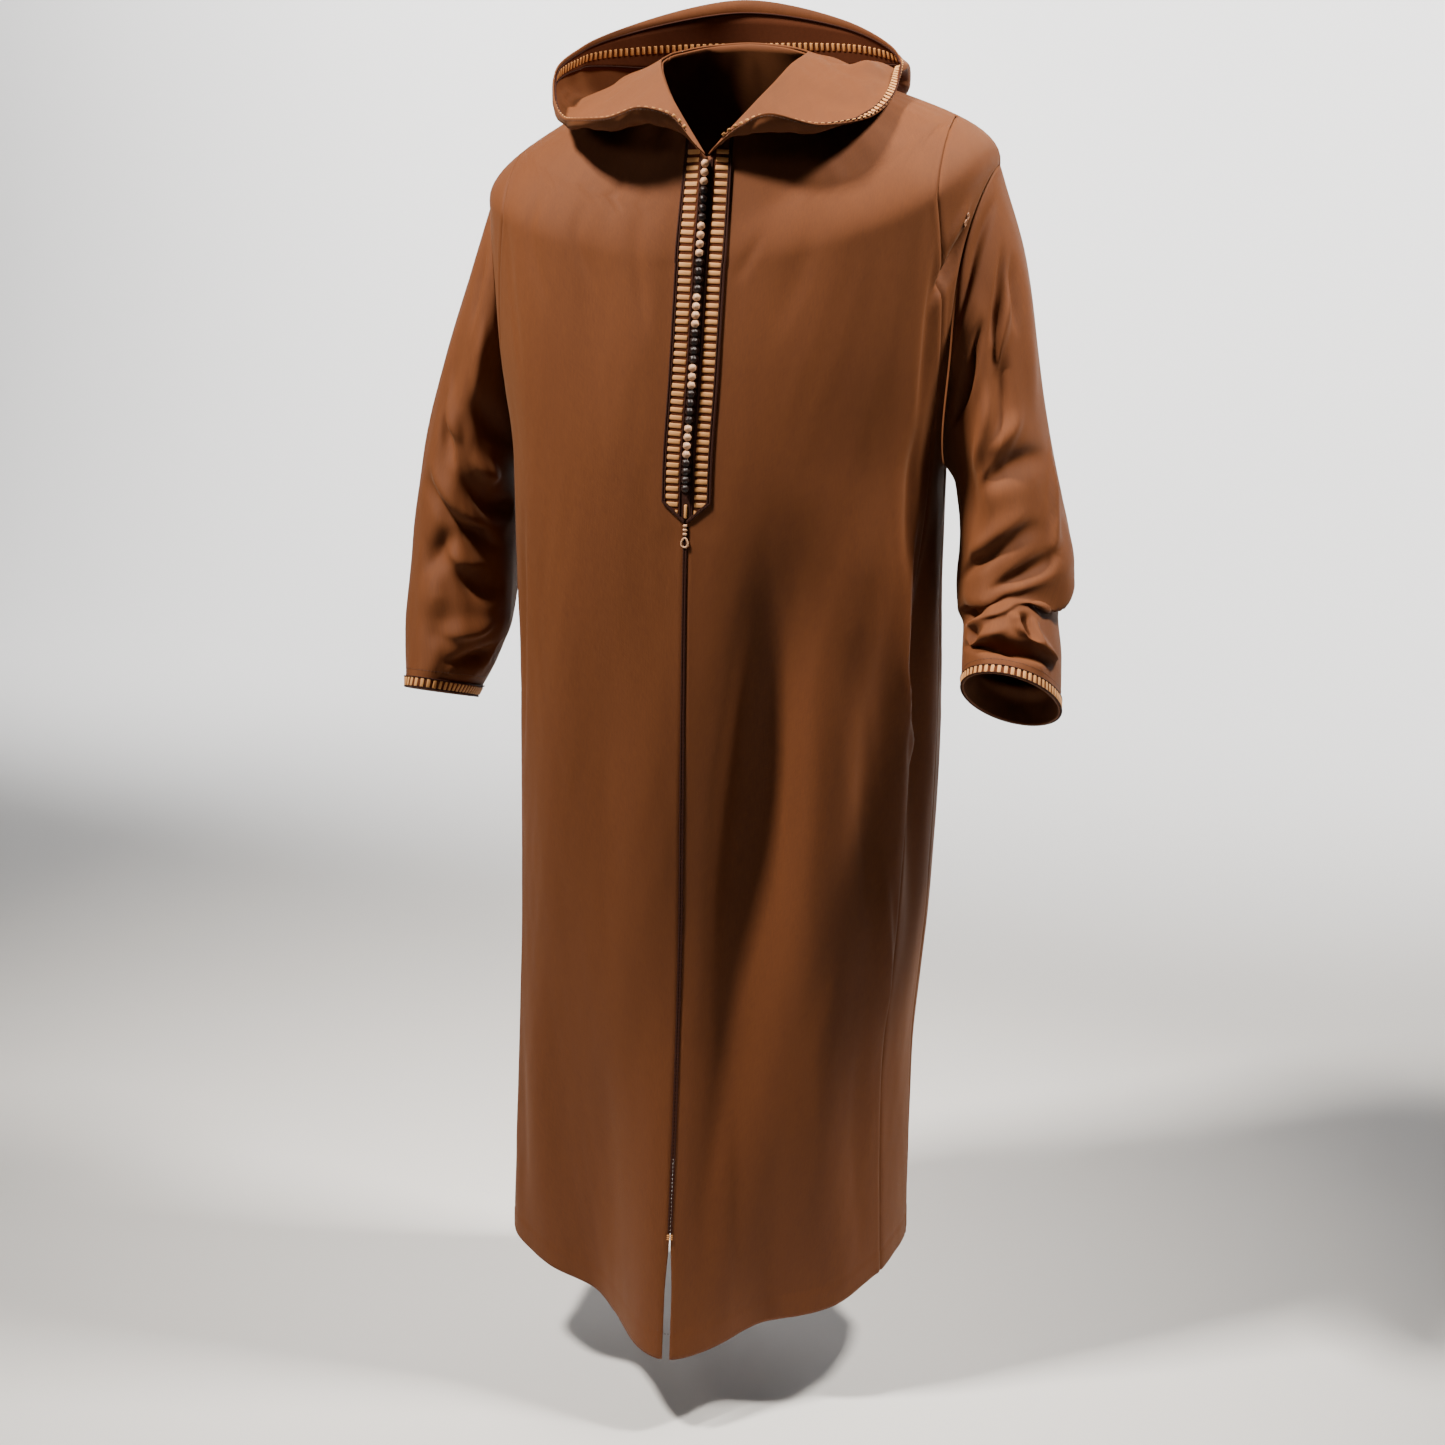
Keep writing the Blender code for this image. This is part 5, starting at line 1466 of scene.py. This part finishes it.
class ROBE_OT_stitching(bpy.types.Operator):
    """Sews the hem, the slit edges, the cuffs, the rim and the shoulder mark"""
    bl_idname = "robe.stitching"
    bl_label = "Stitching"

    def execute(self, context):
        angle, turn = np.linspace(-math.pi, math.pi, 1500), np.linspace(0, 2 * math.pi, 900)
        drops = np.linspace(PLACKET_END + 0.02, HEM - 0.004, 1400)
        lines = [stitch_line(body_face, body_normal, angle, HEM_STITCH, HEM_STITCH_PITCH, -0.0001)]
        for _, side in SIDES:
            metres = side * (slit_half(drops) + 0.0052)
            lines.append(stitch_line(front_face, front_normal, metres, drops, STITCH_PITCH))
            sleeve = partial(sleeve_face, side)
            outward = partial(sleeve_out, side, sleeve)
            lines.append(stitch_line(sleeve, outward, turn, 0.950, STITCH_PITCH))
        sew("sewn_seams", *lines)
        around = np.linspace(0.03, 0.97, 1500)
        sew("sewn_rim", stitch_line(hood_face, hood_normal, around, 0.965, STITCH_PITCH))
        self.shoulder_mark()
        return {"FINISHED"}

    def shoulder_mark(self):
        """Small embroidered four-leaf knot on the front of the left shoulder, beside the armhole."""
        middle, reach = np.array([1.165, 0.136]), 0.0080
        rates = []
        for by in np.diag([0.01, 0.002]):
            chord = body_face(*(middle + by)) - body_face(*(middle - by))
            rates.append(float(np.linalg.norm(chord)) / (2 * by.sum()))
        turn = np.linspace(0, 2 * math.pi, 161)
        leaf = reach * np.cos(2 * turn + 0.5)
        angle = middle[0] + leaf * np.cos(turn) / rates[0]
        drop = middle[1] + leaf * np.sin(turn) / rates[1]
        facing = body_normal(angle, drop)
        path = body_face(angle, drop) + facing * 0.0009
        assign(twisted_cord("shoulder_mark", path, facing, 0.0010, 0.0036, "mark_thread", True, sides=6),
               "robe cloth")


class ROBE_OT_stage(bpy.types.Operator):
    """Sets the floor, the studio lights and the camera"""
    bl_idname = "robe.stage"
    bl_label = "Stage"

    def execute(self, context):
        stage = context.scene.robe_stage
        self.floor(stage)
        world = bpy.data.worlds.new("studio")
        context.scene.world = world
        world.use_nodes = True
        back = world.node_tree.nodes["Background"]
        back.inputs["Color"].default_value = (1.0, 0.985, 0.965, 1.0)
        back.inputs["Strength"].default_value = stage.surround
        warm, white = (1.0, 0.93, 0.84), (1.0, 0.99, 0.98)
        # Name, place, target, size, power, colour, beam in degrees.
        lights = (
            ("key", (-1.4, -1.15, 2.45), (0.0, 0.0, -0.12), 0.42, stage.key_power, warm, 66),
            ("side", (-2.2, -1.6, 1.0), (0.0, 0.0, -0.5), 0.6, stage.side_power, warm, 90),
            ("rim", (1.55, 0.05, 1.9), (0.38, 0.0, -0.1), 0.4, stage.rim_power, warm, 46),
            ("backdrop_left", (-2.4, 1.7, 1.2), (-1.2, 4.9, 0.6), 1.4, stage.backdrop_power, white, 150),
            ("backdrop_right", (2.6, 1.7, 1.2), (1.3, 4.9, 0.6), 1.4, stage.backdrop_power, white, 150),
        )
        for light in lights:
            self.light(*light)
        view = bpy.data.cameras.new("camera")
        view.lens = CAMERA_LENS
        view.sensor_width = 36.0
        view.clip_start, view.clip_end = 0.05, 60.0
        turn = math.radians(CAMERA_TURN)
        place = CAMERA_AWAY * math.sin(turn), -CAMERA_AWAY * math.cos(turn), CAMERA_HEIGHT
        context.scene.camera = self.holder("camera", view, place, (math.radians(CAMERA_TILT), 0.0, turn))
        return {"FINISHED"}

    def floor(self, stage):
        """Floor that rises in a bend to a backdrop behind."""
        shape = bmesh.new()
        bmesh.ops.create_grid(shape, x_segments=2, y_segments=96, size=9.0)
        start, bend = 3.4, 1.6
        for vert in shape.verts:
            past = max(vert.co.y - start, 0.0)
            turn = min(past / bend, math.pi / 2)
            climb = max(past - bend * math.pi / 2, 0.0)
            vert.co.z = FLOOR + bend * (1 - math.cos(turn)) + climb
            vert.co.y = min(vert.co.y, start) + bend * math.sin(turn)
        material, _, shader = new_material("pale_floor", 0.85)
        shader.inputs["Base Color"].default_value = (*stage.floor_colour, 1.0)
        finish_mesh("floor", shape, bpy.data.meshes.new("floor"), material)

    def light(self, name, place, target, size, power, colour, beam):
        """Square soft light that faces a target."""
        lamp = bpy.data.lights.new(name, "AREA")
        lamp.shape = "SQUARE"
        lamp.size = size
        lamp.energy = power
        lamp.color = colour
        lamp.spread = math.radians(beam)
        away = np.array(target) - np.array(place)
        turn = math.atan2(away[1], away[0]) - math.pi / 2
        self.holder(name, lamp, place, (math.atan2(math.hypot(away[0], away[1]), -away[2]), 0.0, turn))

    def holder(self, name, data, place, rotation):
        """Object for a light or the camera."""
        holder = bpy.data.objects.new(name, data)
        bpy.context.scene.collection.objects.link(holder)
        holder.location = place
        holder.rotation_euler = rotation
        return holder


class ROBE_PT_panel(bpy.types.Panel):
    """Lists the sizes, the colours and the pieces"""
    bl_idname = "ROBE_PT_panel"
    bl_label = "Djellaba robe"
    bl_space_type = "VIEW_3D"
    bl_region_type = "UI"
    bl_category = "Robe"

    def draw(self, context):
        for group in ("robe_cloth", "robe_trim", "robe_knots", "robe_stage"):
            box = self.layout.box()
            values = getattr(context.scene, group)
            for name in values.__annotations__:
                box.prop(values, name)
        for operator in OPERATORS:
            self.layout.operator(operator.bl_idname)


GROUPS = {"robe_cloth": RobeCloth, "robe_trim": RobeTrim, "robe_knots": RobeKnots,
          "robe_stage": RobeStage}
OPERATORS = (ROBE_OT_fronts, ROBE_OT_strips, ROBE_OT_back, ROBE_OT_sleeves, ROBE_OT_hood,
             ROBE_OT_edge_trims, ROBE_OT_placket, ROBE_OT_knots, ROBE_OT_centre_braid, ROBE_OT_stitching,
             ROBE_OT_stage)


def register():
    """Registers the property groups, operators and panel."""
    for name, group in GROUPS.items():
        bpy.utils.register_class(group)
        setattr(bpy.types.Scene, name, bpy.props.PointerProperty(type=group))
    for operator in OPERATORS:
        bpy.utils.register_class(operator)
    bpy.utils.register_class(ROBE_PT_panel)


def unregister():
    """Removes them again."""
    bpy.utils.unregister_class(ROBE_PT_panel)
    for operator in reversed(OPERATORS):
        bpy.utils.unregister_class(operator)
    for name, group in reversed(GROUPS.items()):
        delattr(bpy.types.Scene, name)
        bpy.utils.unregister_class(group)


def main():
    """Builds every piece in order."""
    register()
    bpy.ops.robe.fronts()
    bpy.ops.robe.strips()
    bpy.ops.robe.back()
    bpy.ops.robe.sleeves()
    bpy.ops.robe.hood()
    bpy.ops.robe.edge_trims()
    bpy.ops.robe.placket()
    bpy.ops.robe.knots()
    bpy.ops.robe.centre_braid()
    bpy.ops.robe.stitching()
    bpy.ops.robe.stage()


if __name__ == "__main__":
    main()
